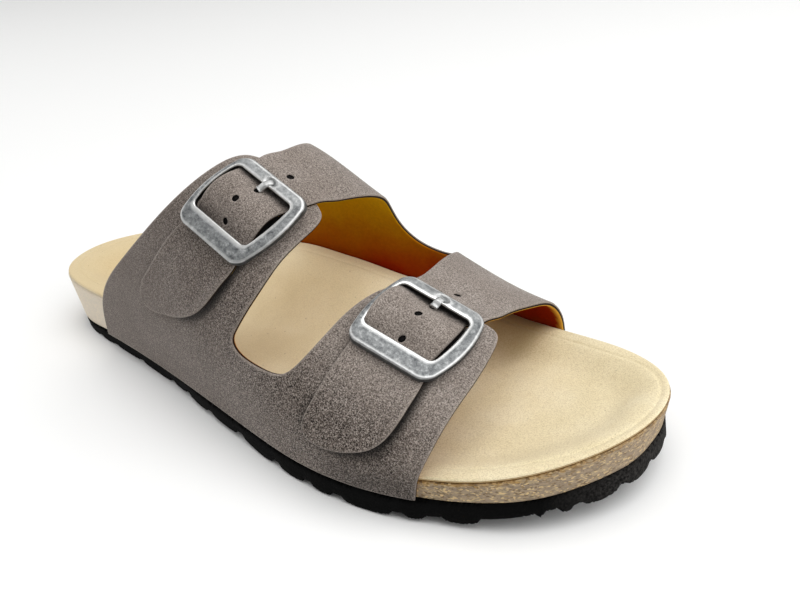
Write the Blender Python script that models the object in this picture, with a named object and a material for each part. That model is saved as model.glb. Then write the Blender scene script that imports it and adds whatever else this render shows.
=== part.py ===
"""Two-strap sandal for the right foot: moulded cork footbed, ridged outsole, buckled upper."""
import bpy
import bmesh
import numpy as np
from mathutils import Vector
from mathutils.geometry import delaunay_2d_cdt

# All sizes below are in millimetres, measured from the back of the heel (x forward to the toe,
# y towards the big toe's side, z up from the floor); the mesh is written in metres.
MM = 0.001

# Sole
OUTSOLE_HEIGHT = 8.7
OUTSOLE_PROUD = 0.6
OUTSOLE_SIDE_LEAN = 0.3
OUTSOLE_TOE_LEAN = 1.7
TOE_LEAN_START = 200.0
TOE_LEAN_RUN = 55.0
LEAN_FADE = 14.0
LUG_DEPTH = 2.2
LUG_SLOPE = 1.2
TOE_SPRING = 8.4
SPRING_START = 185.0
SPRING_RUN = 80.0
HEEL_INSET = 2.0
HEEL_INSET_RUN = 100.0
OUTLINE_POINTS = 120

# Footbed and the suede sheet on it
GLUE_GAP = 0.35
INSOLE_THICK = 1.4
INSOLE_INSET = 0.35
BORDER = 4.0
BED_RINGS = (
    # inset, points
    (BORDER, OUTLINE_POINTS), (8.5, 96), (13.5, 84), (19.5, 72),
)
BED_GRID = 11.5
BED_GRID_INSET = 24.5

# Upper
UPPER_THICK = 1.8
UPPER_PROUD = 2.15
STRAP_SINK = 0.3
STRAP_RAMP = 9.0
PATTERN_STEP = 3.6
PATTERN_GRID = 6.4
STRAP_HUMP = 4.0
HUMP_FOLDS = (-1.0, -0.72, -0.36, 0.0, 0.36, 0.72, 1.0)
FOLD_REACH = 15.0
BETWEEN_STRAPS = 166.0

# Buckles, both alike
WINDOW_WIDTH = 25.8
WINDOW_LENGTH = 19.5
SIDE_BAR = 3.6
LOW_BAR = 7.0
HIGH_BAR = 5.2
BAR_THICK = 2.2
BAR_BEVEL = 0.6
BUCKLE_GAP = 0.3
OUTER_CORNER = 5.0
INNER_CORNER = 2.6
NOTCH_HALF = 2.4
NOTCH_DEPTH = 0.7
BUCKLE_POINTS = 60
PRONG_WIDTH = 2.3
PRONG_THICK = 1.5
PRONG_START = 6.4
PRONG_END = 14.2
PRONG_STATIONS = 6
PRONG_TAPER = 0.25

# Plan of the sole at the footbed's rim, one row per point going heel, outer side, toe, inner side
OUTLINE = (
    # x, y
    (0.0, -1.1), (6.3, -22.9), (40.0, -31.0), (89.8, -37.2), (140.3, -46.0), (178.3, -49.9),
    (215.0, -43.8), (239.6, -32.8), (258.2, -12.0), (265.1, 8.6), (259.7, 27.4), (237.2, 41.4),
    (208.1, 45.7), (169.9, 44.8), (120.0, 33.4), (70.0, 31.5), (31.7, 32.4), (13.4, 20.3),
)

# Footbed stations: top of the suede at the outer rim, at the inner rim and along the middle,
# and how far in from the rim the cup reaches; the toe spring comes on top of these heights
FOOTBED = (
    # x, outer rim, inner rim, middle, outer reach, inner reach
    (0, 27.2, 27.2, 17.5, 24, 24),
    (40, 27.0, 28.0, 15.0, 24, 26),
    (80, 27.0, 33.0, 17.5, 24, 32),
    (105, 26.5, 36.6, 19.5, 22, 34),
    (125, 25.0, 34.0, 20.3, 20, 32),
    (150, 22.5, 27.5, 19.6, 18, 26),
    (175, 19.0, 23.0, 16.2, 16, 18),
    (200, 16.9, 21.0, 13.9, 14, 15),
    (222, 17.6, 20.5, 14.5, 13, 14),
    (245, 18.7, 19.6, 15.0, 13, 13),
    (266, 19.2, 19.2, 15.4, 13, 13),
)

# Grooves across the outsole that part the lugs
CROSS_GROOVES = (
    # x, width
    (24.8, 2.6), (44.6, 2.6), (60.0, 2.6), (75.0, 2.6), (92.0, 2.6), (111.0, 2.8), (131.0, 2.8),
    (152.5, 2.8), (168.7, 3.0), (182.8, 3.0), (204.5, 3.2), (217.5, 3.8), (234.0, 8.0), (249.5, 3.2),
)
TOE_GROOVES = (
    # y, width
    (-2.0, 3.4), (12.0, 3.4), (25.0, 3.4),
)
TOE_GROOVE_START = 255.0
GROOVE_SPAN = 70.0
TOE_GROOVE_END = 280.0

# Outer face of the upper, one row per section of the last
LAST = (
    # x, outer rim, inner rim, crest y, crest z, inner fullness
    (40, 27.0, 28.0, 2.0, 104.0, 2.40),
    (80, 27.0, 33.0, 3.0, 102.0, 2.40),
    (105, 26.5, 36.6, 4.0, 97.5, 2.40),
    (125, 25.0, 34.0, 5.6, 91.4, 2.37),
    (150, 22.5, 27.5, 2.1, 76.2, 2.31),
    (175, 19.0, 23.0, 1.5, 59.3, 2.07),
    (200, 16.9, 21.0, 0.4, 49.2, 1.96),
    (222, 17.6, 20.5, 1.4, 42.6, 2.11),
)
OUTER_FULLNESS = 2.0

# Pattern edges of the outer panel: place along the last and height up its outer side
OUTER_REAR = (
    # x, up
    (41.2, 0.0), (44.0, 14.7), (54.0, 30.0), (71.0, 45.6), (90.0, 63.4), (104.0, 79.5),
    (111.4, 90.2), (114.8, 95.1), (119.0, 98.4),
)
OUTER_CUTOUT = (
    # x, up
    (147.0, 92.0), (150.4, 88.4), (151.2, 80.0), (148.6, 66.0), (145.7, 54.1), (139.6, 40.3),
    (137.9, 35.2), (141.0, 32.2), (150.5, 30.8), (160.2, 31.4), (165.2, 34.8), (170.2, 45.3),
    (172.0, 57.0), (174.2, 67.1), (177.4, 74.4), (181.2, 77.9),
)
OUTER_FRONT = (
    # x, up
    (209.7, 69.8), (213.8, 67.0), (216.4, 60.4), (217.9, 47.7), (217.5, 36.4), (215.0, 18.6),
    (212.4, 9.1), (211.1, 0.0),
)

# Pattern edges of the inner panel, height up its inner side
INNER_REAR = (
    # x, up
    (72.0, 0.0), (74.0, 14.0), (82.0, 29.0), (94.0, 44.0), (107.0, 59.0), (118.0, 73.0), (125.0, 86.0),
)
INNER_CUTOUT = (
    # x, up
    (151.0, 74.0), (149.4, 62.0), (147.2, 52.0), (148.4, 43.0), (153.0, 37.0), (161.0, 33.6),
    (169.0, 34.6), (175.0, 42.0), (178.6, 52.0), (181.0, 62.0),
)
INNER_FRONT = (
    # x, up
    (211.2, 54.0), (212.6, 43.0), (211.4, 28.0), (210.6, 18.0), (211.6, 9.0), (213.0, 0.0),
)

# Straps of the inner panel, running over the outer panel's tabs; height up the outer side
REAR_STRAP = (
    # x, up
    (126.0, 108.0), (123.8, 98.4), (121.9, 90.3), (118.5, 82.0), (114.2, 74.5), (107.5, 67.4),
    (100.0, 57.9), (89.4, 44.8), (83.8, 37.6), (83.2, 32.5), (87.6, 30.2), (98.1, 31.4), (111.9, 35.4),
    (119.4, 38.9), (125.7, 44.0), (133.5, 55.3), (136.7, 65.0), (139.7, 74.0), (142.2, 82.0),
    (145.2, 88.0), (147.4, 94.0), (149.6, 101.2),
)
FRONT_STRAP = (
    # x, up
    (182.0, 83.0), (182.9, 70.0), (182.0, 60.0), (181.0, 52.0), (179.7, 46.4), (177.9, 37.0),
    (175.1, 26.1), (173.2, 19.6), (174.2, 16.2), (178.0, 14.3), (185.0, 14.2), (193.0, 15.8),
    (198.2, 17.9), (202.0, 21.6), (204.5, 27.9), (204.9, 36.0), (203.7, 44.0), (204.7, 53.0),
    (206.2, 62.0), (208.2, 68.0), (209.8, 75.0),
)

# Buckle seats: middle of the window, and the points below and above it that set the slant
BUCKLES = (
    # name, window x, window up, low x, low up, high x, high up
    ("rear", 129.0, 78.6, 123.2, 63.6, 133.4, 92.0),
    ("front", 193.6, 58.8, 191.4, 43.6, 195.6, 72.4),
)

# Colour, roughness and metal share of each piece
FINISHES = {
    "outsole": ((0.012, 0.012, 0.013), 0.85, 0.0),
    "footbed": ((0.38, 0.27, 0.16), 0.90, 0.0),
    "insole": ((0.72, 0.58, 0.36), 0.95, 0.0),
    "upper": ((0.17, 0.14, 0.125), 0.92, 0.0),
    "buckle": ((0.55, 0.56, 0.57), 0.38, 1.0),
    "prong": ((0.60, 0.61, 0.62), 0.34, 1.0),
}


def spline(rows, closed, count):
    """Cubic curve through the rows, returned as count points spaced evenly along it."""
    points = np.array(rows, float)
    if closed:
        points = np.vstack([points, points[:1]])
    knots = np.concatenate([[0.0], np.cumsum(np.hypot(*np.diff(points, axis=0).T) ** 0.5)])
    steps = np.diff(knots)
    slopes = np.diff(points, axis=0) / steps[:, None]
    total = len(points)
    system = np.zeros((total, total))
    right = np.zeros((total, 2))
    for i in range(1, total - 1):
        system[i, i - 1:i + 2] = steps[i - 1], 2 * (steps[i - 1] + steps[i]), steps[i]
        right[i] = 6 * (slopes[i] - slopes[i - 1])
    if closed:
        system[0, 0], system[0, -1] = 1.0, -1.0
        system[-1, 0], system[-1, 1] = 2 * steps[0], steps[0]
        system[-1, -1], system[-1, -2] = 2 * steps[-1], steps[-1]
        right[-1] = 6 * (slopes[0] - slopes[-1])
    else:
        system[0, 0] = system[-1, -1] = 1.0
    bends = np.linalg.solve(system, right)
    fine = np.linspace(0.0, knots[-1], 40 * total)
    k = np.clip(np.searchsorted(knots, fine, "right") - 1, 0, total - 2)
    h = steps[k][:, None]
    a = (knots[k + 1] - fine)[:, None] / h
    b = 1.0 - a
    curve = a * points[k] + b * points[k + 1]
    curve += ((a ** 3 - a) * bends[k] + (b ** 3 - b) * bends[k + 1]) * h * h / 6
    along = np.concatenate([[0.0], np.cumsum(np.hypot(*np.diff(curve, axis=0).T))])
    if count is None:
        count = max(3, int(round(along[-1] / PATTERN_STEP)) + 1)
    places = np.linspace(0.0, along[-1], count + 1)[:-1] if closed else np.linspace(0.0, along[-1], count)
    return np.column_stack([np.interp(places, along, curve[:, c]) for c in (0, 1)])


def eased(rows, column, x):
    """One column of a table read smoothly between its rows, without overshoot."""
    table = np.array(rows, float)
    xs, ys = table[:, 0], table[:, column]
    x = np.clip(np.asarray(x, float), xs[0], xs[-1])
    h = np.diff(xs)
    m = np.diff(ys) / h
    slope = np.concatenate([[m[0]], np.zeros(len(xs) - 2), [m[-1]]])
    for i in range(1, len(xs) - 1):
        if m[i - 1] * m[i] > 0:
            w1, w2 = 2 * h[i] + h[i - 1], h[i] + 2 * h[i - 1]
            slope[i] = (w1 + w2) / (w1 / m[i - 1] + w2 / m[i])
    k = np.clip(np.searchsorted(xs, x, "right") - 1, 0, len(xs) - 2)
    t = (x - xs[k]) / h[k]
    return (ys[k] * (1 + 2 * t) * (1 - t) ** 2 + ys[k + 1] * t * t * (3 - 2 * t)
            + h[k] * (slope[k] * t * (1 - t) ** 2 + slope[k + 1] * t * t * (t - 1)))


def smooth(t):
    """Soft step from 0 to 1."""
    t = np.clip(t, 0.0, 1.0)
    return t * t * (3 - 2 * t)


def rise(x):
    """Toe spring: how far the sole lifts off the floor."""
    return TOE_SPRING * (np.clip(np.asarray(x, float) - SPRING_START, 0.0, None) / SPRING_RUN) ** 2


def heel_inset(x):
    """How far the sole's side leans in under the rim, fading out from the heel."""
    return HEEL_INSET * np.clip(1.0 - np.asarray(x, float) / HEEL_INSET_RUN, 0.0, 1.0)


FINE = spline(OUTLINE, True, 1440)
FINE_STEP = np.roll(FINE, -1, axis=0) - np.roll(FINE, 1, axis=0)
FINE_OUT = np.column_stack([FINE_STEP[:, 1], -FINE_STEP[:, 0]])
FINE_OUT /= np.linalg.norm(FINE_OUT, axis=1)[:, None]
HEEL_INDEX = int(np.argmin(FINE[:, 0]))


def side_points(inner):
    """Indices of the outline's points from heel to toe on the outer or the inner side."""
    order = np.roll(np.arange(len(FINE)), -HEEL_INDEX)
    toe = int(np.argmax(FINE[order, 0]))
    return np.append(order[toe:], order[0])[::-1] if inner else order[:toe + 1]


def side_y(x, inner):
    """Plan half width at x: the outline's y on the outer or the inner side."""
    half = side_points(inner)
    return np.interp(x, FINE[half, 0], FINE[half, 1])


def to_edge(plan):
    """Distance to the outline and the nearest outline point's index, for each plan point."""
    near = np.empty(len(plan), int)
    gap = np.empty(len(plan))
    for i, p in enumerate(plan):
        d = np.hypot(FINE[:, 0] - p[0], FINE[:, 1] - p[1])
        near[i] = int(np.argmin(d))
        gap[i] = d[near[i]]
    return gap, near


def bed_height(plan):
    """Top of the suede: a flat border at the rim, then the cup, the arch and the toe hollow."""
    middle = eased(FOOTBED, 3, plan[:, 0])
    rims, shares = [], []
    for side, (rim_column, reach_column) in enumerate(((1, 4), (2, 5))):
        edge = FINE[side_points(side == 1)]
        near = np.array([int(np.argmin(np.hypot(edge[:, 0] - p[0], edge[:, 1] - p[1]))) for p in plan])
        gap = np.hypot(edge[near, 0] - plan[:, 0], edge[near, 1] - plan[:, 1])
        rims.append(eased(FOOTBED, rim_column, edge[near, 0]))
        shares.append(smooth(1.0 - (gap - BORDER) / eased(FOOTBED, reach_column, edge[near, 0])))
    total = shares[0] + shares[1] + 1e-9
    rim = (rims[0] * shares[0] + rims[1] * shares[1]) / total
    share = 1.0 - (1.0 - shares[0]) * (1.0 - shares[1])
    return middle + (rim - middle) * share + rise(plan[:, 0])


def pulled_in(plan, amount, fade):
    """Plan points drawn in from the outline by amount there, fading to none further in."""
    gap, near = to_edge(plan)
    share = np.clip(1.0 - gap / fade, 0.0, 1.0)
    return plan - FINE_OUT[near] * (np.asarray(amount) * share)[:, None]


def fill(loop, inside, lines=()):
    """Triangles over a closed plan loop, using the inside points and the crossing lines."""
    points = [Vector(p) for p in loop] + [Vector(p) for p in inside]
    edges = [(i, (i + 1) % len(loop)) for i in range(len(loop))]
    for a, b in lines:
        edges.append((len(points), len(points) + 1))
        points += [Vector(a), Vector(b)]
    found = delaunay_2d_cdt(points, edges, [], 1, 1e-4)
    plan = np.array([(v.x, v.y) for v in found[0]])
    faces = []
    for face in found[2]:
        a, b, c = plan[face[0]], plan[face[1]], plan[face[2]]
        area = (b[0] - a[0]) * (c[1] - a[1]) - (b[1] - a[1]) * (c[0] - a[0])
        middle = (a + b + c) / 3
        if abs(area) > 1e-7 and contains(loop, middle):
            faces.append(tuple(face) if area > 0 else tuple(reversed(face)))
    used = sorted({i for f in faces for i in f})
    fresh = {old: new for new, old in enumerate(used)}
    return plan[used], [tuple(fresh[i] for i in f) for f in faces]


def contains(loop, point):
    """Whether a point lies inside a closed loop."""
    x, y = loop[:, 0], loop[:, 1]
    xn, yn = np.roll(x, -1), np.roll(y, -1)
    crosses = (y > point[1]) != (yn > point[1])
    at = x + (point[1] - y) / np.where(crosses, yn - y, 1.0) * (xn - x)
    return int(np.sum(crosses & (point[0] < at))) % 2 == 1


def sheet(faces, top, bottom):
    """Closed body between two matching surfaces, walled along their shared border."""
    count = len(top)
    body = list(faces) + [tuple(i + count for i in reversed(f)) for f in faces]
    directed = {(f[i], f[(i + 1) % 3]) for f in faces for i in range(3)}
    for a, b in sorted(directed):
        if (b, a) not in directed:
            body.append((b, a, a + count, b + count))
    return np.vstack([top, bottom]), body


def make(name, points, faces, finish, collection):
    """Named object with its own material, its faces turned outwards."""
    mesh = bpy.data.meshes.new(name)
    mesh.from_pydata([tuple(p * MM) for p in points], [], faces)
    work = bmesh.new()
    work.from_mesh(mesh)
    bmesh.ops.triangulate(work, faces=work.faces[:])
    bmesh.ops.recalc_face_normals(work, faces=work.faces[:])
    work.to_mesh(mesh)
    work.free()
    colour, rough, metal = FINISHES[finish]
    material = bpy.data.materials.new(name + "_finish")
    material.use_nodes = True
    shader = material.node_tree.nodes["Principled BSDF"]
    shader.inputs["Base Color"].default_value = (*colour, 1.0)
    shader.inputs["Roughness"].default_value = rough
    shader.inputs["Metallic"].default_value = metal
    mesh.materials.append(material)
    thing = bpy.data.objects.new(name, mesh)
    collection.objects.link(thing)
    return thing


def ring(inset, count):
    """Points of the outline drawn in by inset."""
    pick = np.linspace(0, len(FINE), count, endpoint=False).astype(int)
    return FINE[pick] - FINE_OUT[pick] * inset


def outsole_body():
    """Slab with cross grooves between the lugs and short cuts round the toe, bent up at the toe."""
    pick = np.linspace(0, len(FINE), OUTLINE_POINTS, endpoint=False).astype(int)
    out = OUTSOLE_PROUD - heel_inset(FINE[pick, 0])
    loop = FINE[pick] + FINE_OUT[pick] * out[:, None]
    lines = []
    for x, width in CROSS_GROOVES:
        for shift in (-width / 2 - LUG_SLOPE, -width / 2, width / 2, width / 2 + LUG_SLOPE):
            lines.append(((x + shift, -GROOVE_SPAN), (x + shift, GROOVE_SPAN)))
    for y, width in TOE_GROOVES:
        for shift in (-width / 2 - LUG_SLOPE, -width / 2, width / 2, width / 2 + LUG_SLOPE):
            lines.append(((TOE_GROOVE_START, y + shift), (TOE_GROOVE_END, y + shift)))
    for x in (TOE_GROOVE_START - LUG_SLOPE, TOE_GROOVE_START):
        lines.append(((x, -GROOVE_SPAN), (x, GROOVE_SPAN)))
    plan, faces = fill(loop, [], lines)
    cut = np.zeros(len(plan))
    for x, width in CROSS_GROOVES:
        cut = np.maximum(cut, 1.0 - (np.abs(plan[:, 0] - x) - width / 2) / LUG_SLOPE)
    for y, width in TOE_GROOVES:
        across = 1.0 - (np.abs(plan[:, 1] - y) - width / 2) / LUG_SLOPE
        along = 1.0 - (TOE_GROOVE_START - plan[:, 0]) / LUG_SLOPE
        cut = np.maximum(cut, np.minimum(across, along))
    lift = rise(plan[:, 0])
    toe = smooth((plan[:, 0] - TOE_LEAN_START) / TOE_LEAN_RUN)
    low = pulled_in(plan, OUTSOLE_SIDE_LEAN + (OUTSOLE_TOE_LEAN - OUTSOLE_SIDE_LEAN) * toe, LEAN_FADE)
    top = np.column_stack([plan, lift + OUTSOLE_HEIGHT])
    bottom = np.column_stack([low, lift + LUG_DEPTH * np.clip(cut, 0.0, 1.0)])
    return sheet(faces, top, bottom)


def bed_plan():
    """Shared plan of the footbed and its suede: rings inside the outline and a loose grid."""
    loop = ring(0.0, OUTLINE_POINTS)
    inside = np.vstack([ring(inset, count) for inset, count in BED_RINGS])
    low, high = loop.min(axis=0), loop.max(axis=0)
    grid = np.array([(x, y) for x in np.arange(low[0], high[0], BED_GRID)
                     for y in np.arange(low[1], high[1], BED_GRID)])
    gap, near = to_edge(grid)
    roomy = np.array([contains(loop, p) for p in grid]) & (gap > BED_GRID_INSET)
    return fill(loop, np.vstack([inside, grid[roomy]]))


def footbed_body(plan, faces):
    """Cork footbed: the cup under the suede, flat below on the outsole, leaning in at the heel."""
    top = np.column_stack([plan, bed_height(plan) - INSOLE_THICK - GLUE_GAP])
    low = pulled_in(plan, heel_inset(plan[:, 0]), LEAN_FADE)
    bottom = np.column_stack([low, OUTSOLE_HEIGHT + GLUE_GAP + rise(low[:, 0])])
    return sheet(faces, top, bottom)


def insole_body(plan, faces):
    """Suede sheet lying in the footbed's cup and over its border."""
    place = pulled_in(plan, np.full(len(plan), INSOLE_INSET), BORDER)
    height = bed_height(plan)
    top = np.column_stack([place, height])
    bottom = np.column_stack([place, height - INSOLE_THICK])
    return sheet(faces, top, bottom)


SECTIONS = {}


def section(x):
    """Outer face of the upper across the last at x, and the distance up it from the outer foot."""
    key = round(float(x), 4)
    if key not in SECTIONS:
        outer_rim, inner_rim, crest_y, crest_z, fullness = (float(eased(LAST, c, x)) for c in range(1, 6))
        outer = float(side_y(x, False)) - UPPER_PROUD
        inner = float(side_y(x, True)) + UPPER_PROUD
        turn = np.linspace(0.0, np.pi / 2, 60)
        up = np.column_stack([
            crest_y + (outer - crest_y) * np.cos(turn) ** (2 / OUTER_FULLNESS),
            outer_rim + (crest_z - outer_rim) * np.sin(turn) ** (2 / OUTER_FULLNESS)])
        down = np.column_stack([
            crest_y + (inner - crest_y) * np.cos(turn) ** (2 / fullness),
            inner_rim + (crest_z - inner_rim) * np.sin(turn) ** (2 / fullness)])[::-1]
        path = np.vstack([(outer, OUTSOLE_HEIGHT), up, down[1:], (inner, OUTSOLE_HEIGHT)])
        far = np.concatenate([[0.0], np.cumsum(np.hypot(*np.diff(path, axis=0).T))])
        SECTIONS[key] = path, far
    return SECTIONS[key]


def girth(x):
    """Distance over the section from the outer foot to the inner one."""
    return float(section(x)[1][-1])


def skin(x, up):
    """Point on the upper's outer face."""
    path, far = section(x)
    return np.array([x, np.interp(up, far, path[:, 0]), np.interp(up, far, path[:, 1])])


def skin_normal(x, up):
    """Outward direction of the upper's outer face."""
    step = 0.8
    low, high = max(up - step, 0.0), min(up + step, girth(x))
    normal = np.cross(skin(x + step, up) - skin(x - step, up), skin(x, high) - skin(x, low))
    return normal / np.linalg.norm(normal)


def on_foot(rows):
    """Pattern rows with those at height 0 set a glue gap above the outsole's top."""
    return [(x, up if up else float(rise(x)) + GLUE_GAP) for x, up in rows]


def from_inner(rows):
    """Pattern rows given up the inner side, turned to distances from the outer foot."""
    return [(x, girth(x) - up) for x, up in on_foot(rows)]


def foot_line(start, end, inner):
    """Lower edge of a panel, a glue gap above the outsole's top."""
    count = int(abs(end - start) / PATTERN_STEP) + 1
    xs = np.linspace(start, end, count)
    up = rise(xs) + GLUE_GAP
    return np.column_stack([xs, [girth(x) - u for x, u in zip(xs, up)] if inner else up])


def joined(*edges):
    """One closed loop from edges that meet end to end, straight where they do not touch."""
    loop = []
    for edge, following in zip(edges, edges[1:] + edges[:1]):
        loop += [tuple(p) for p in edge]
        span = np.hypot(*(np.array(following[0]) - np.array(edge[-1])))
        for t in np.linspace(0.0, 1.0, int(span / PATTERN_STEP) + 1)[1:-1]:
            loop.append(tuple((1 - t) * np.array(edge[-1]) + t * np.array(following[0])))
    tidy = [loop[0]]
    for p in loop[1:]:
        if min(np.hypot(p[0] - q[0], p[1] - q[1]) for q in (tidy[-1], tidy[0])) > 0.8:
            tidy.append(p)
    return np.array(tidy)


def pattern_fill(loop, lines):
    """Triangles over a pattern loop, with an even grid of points inside it and the fold lines."""
    ends = np.array([p for line in lines for p in line]).reshape(-1, 2)
    low, high = loop.min(axis=0), loop.max(axis=0)
    grid = []
    for row, up in enumerate(np.arange(low[1], high[1], PATTERN_GRID * 0.87)):
        for x in np.arange(low[0] + (row % 2) * PATTERN_GRID / 2, high[0], PATTERN_GRID):
            marks = np.vstack([loop, ends])
            if contains(loop, (x, up)) and np.hypot(*(marks - (x, up)).T).min() > PATTERN_GRID * 0.55:
                grid.append((x, up))
    return fill(loop, grid, lines)


class Seat:
    """Local frame of a buckle on the upper: across the strap, along it and outwards."""

    def __init__(self, row):
        self.name, x, up, low_x, low_up, high_x, high_up = row
        self.origin = skin(x, up)
        along = skin(high_x, high_up) - skin(low_x, low_up)
        outward = skin_normal(x, up)
        self.along = along / np.linalg.norm(along)
        outward = outward - self.along * np.dot(outward, self.along)
        self.outward = outward / np.linalg.norm(outward)
        self.across = np.cross(self.along, self.outward)
        spots = []
        for sx in np.arange(x - 20.0, x + 20.1, 2.0):
            for su in np.arange(up - 22.0, up + 22.1, 2.0):
                u, v, h = self.local(skin(sx, su))
                if abs(u) < WINDOW_WIDTH / 2 + SIDE_BAR and abs(v) < WINDOW_LENGTH / 2 + LOW_BAR:
                    spots.append((u, v, h))
        spots = np.array(spots)
        terms = np.column_stack([np.ones(len(spots)), spots[:, 0], spots[:, 1], spots[:, 1] ** 2])
        self.form = np.linalg.lstsq(terms, spots[:, 2], rcond=None)[0]
        self.form[0] += float(np.max(spots[:, 2] - terms @ self.form))
        self.middle = np.array([x, up])

    def local(self, point):
        """Across, along and outward distances of a point from the window's middle."""
        away = point - self.origin
        return np.dot(away, self.across), np.dot(away, self.along), np.dot(away, self.outward)

    def spot(self, u, v):
        """Pattern place lying at u across and v along."""
        place = self.middle.copy()
        for _ in range(8):
            here = np.array(self.local(skin(*place))[:2])
            step_x = np.array(self.local(skin(place[0] + 0.5, place[1]))[:2]) - here
            step_up = np.array(self.local(skin(place[0], place[1] + 0.5))[:2]) - here
            place += np.linalg.solve(np.column_stack([step_x, step_up]) / 0.5, np.array([u, v]) - here)
        return place

    def folds(self):
        """Pattern lines across the strap where its hump begins, rises and ends."""
        lines = []
        for share in HUMP_FOLDS:
            row = [self.spot(u, share * WINDOW_LENGTH / 2) for u in np.linspace(-FOLD_REACH, FOLD_REACH, 6)]
            lines += list(zip(row[:-1], row[1:]))
        return lines

    def place(self, u, v, h):
        """Point at u across and v along, h out from the arched seat."""
        base = self.form[0] + self.form[1] * u + self.form[2] * v + self.form[3] * v * v
        return self.origin + self.across * u + self.along * v + self.outward * (base + h)


def tab_top(x):
    """Top edge of the outer panel's tabs under the straps."""
    if x < BETWEEN_STRAPS:
        start, end = OUTER_REAR[-1], OUTER_CUTOUT[0]
    else:
        start, end = OUTER_CUTOUT[-1], OUTER_FRONT[0]
    return start[1] + (x - start[0]) * (end[1] - start[1]) / (end[0] - start[0])


def strap_lift(x, up, seats):
    """How far the inner panel stands off the last: none by itself, up over a tab, humped in a window."""
    over = float(smooth(1.0 - (up - tab_top(x)) / STRAP_RAMP))
    lift = (UPPER_THICK - STRAP_SINK) * over
    for seat in seats:
        u, v, h = seat.local(skin(x, up))
        if abs(v) < WINDOW_LENGTH / 2 and abs(u) < WINDOW_WIDTH and abs(h) < 12.0:
            lift += STRAP_HUMP * float(np.cos(np.pi * v / WINDOW_LENGTH) ** 2)
    return lift


def panel_body(loop, lift, lines=()):
    """Sheet of upper material over a pattern loop, standing lift off the last."""
    plan, faces = pattern_fill(loop, lines)
    outer, inner = [], []
    for x, up in plan:
        point, normal = skin(x, up), skin_normal(x, up)
        off = lift(x, up)
        outer.append(point + normal * off)
        inner.append(point + normal * (off - UPPER_THICK))
    return sheet(faces, np.array(outer), np.array(inner))


def outer_panel():
    """Outer panel: two tabs with a deep cut-out between them."""
    return panel_body(joined(
        spline(on_foot(OUTER_REAR), False, None), spline(OUTER_CUTOUT, False, None),
        spline(on_foot(OUTER_FRONT), False, None), foot_line(OUTER_FRONT[-1][0], OUTER_REAR[0][0], False),
    ), lambda x, up: 0.0)


def inner_panel(seats):
    """Inner panel with both straps, which lie over the tabs, hump in the windows and end in tips."""
    rows = from_inner(INNER_REAR) + list(REAR_STRAP)
    rows += from_inner(INNER_CUTOUT) + list(FRONT_STRAP)
    rows += from_inner(INNER_FRONT)
    return panel_body(joined(
        spline(rows, False, None), foot_line(INNER_FRONT[-1][0], INNER_REAR[0][0], True),
    ), lambda x, up: strap_lift(x, up, seats), [line for seat in seats for line in seat.folds()])


def rounded_corner_path(half_width, low, high, corner, count):
    """Rounded rectangle walked from the middle of its high side, as count points."""
    arcs = []
    for cx, cy, start in ((1, 1, 90), (1, 0, 0), (0, 0, -90), (0, 1, -180)):
        middle = ((half_width - corner) * (1 if cx else -1), high - corner if cy else low + corner)
        for step in range(9):
            angle = np.radians(start - step * 90 / 8)
            arcs.append((middle[0] + corner * np.cos(angle), middle[1] + corner * np.sin(angle)))
    path = np.array([(0.0, high)] + arcs + [(0.0, high)])
    along = np.concatenate([[0.0], np.cumsum(np.hypot(*np.diff(path, axis=0).T))])
    places = np.linspace(0.0, along[-1], count + 1)[:-1]
    return np.column_stack([np.interp(places, along, path[:, c]) for c in (0, 1)])


def buckle_body(seat):
    """Arched frame with a broad low bar, slim sides and a notch in the high bar for the prong."""
    count = BUCKLE_POINTS
    half = WINDOW_WIDTH / 2
    reach = WINDOW_LENGTH / 2
    outer = rounded_corner_path(half + SIDE_BAR, -reach - LOW_BAR, reach + HIGH_BAR, OUTER_CORNER, count)
    inner = rounded_corner_path(half, -reach, reach, INNER_CORNER, count)
    base = UPPER_THICK - STRAP_SINK + BUCKLE_GAP
    points, faces = [], []
    for (ou, ov), (iu, iv) in zip(outer, inner):
        dip = NOTCH_DEPTH * float(smooth((NOTCH_HALF - abs(ou)) / 1.2)) if ov > 0 else 0.0
        edge = np.array([iu - ou, iv - ov])
        edge = edge / np.linalg.norm(edge) * BAR_BEVEL
        crest = base + BAR_THICK - dip
        points += [
            seat.place(ou, ov, base), seat.place(ou, ov, crest - BAR_BEVEL),
            seat.place(ou + edge[0], ov + edge[1], crest), seat.place(iu - edge[0], iv - edge[1], crest),
            seat.place(iu, iv, crest - BAR_BEVEL), seat.place(iu, iv, base)]
    for k in range(count):
        following = (k + 1) % count
        for i in range(6):
            j = (i + 1) % 6
            faces.append((k * 6 + i, following * 6 + i, following * 6 + j, k * 6 + j))
    return np.array(points), faces


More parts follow.
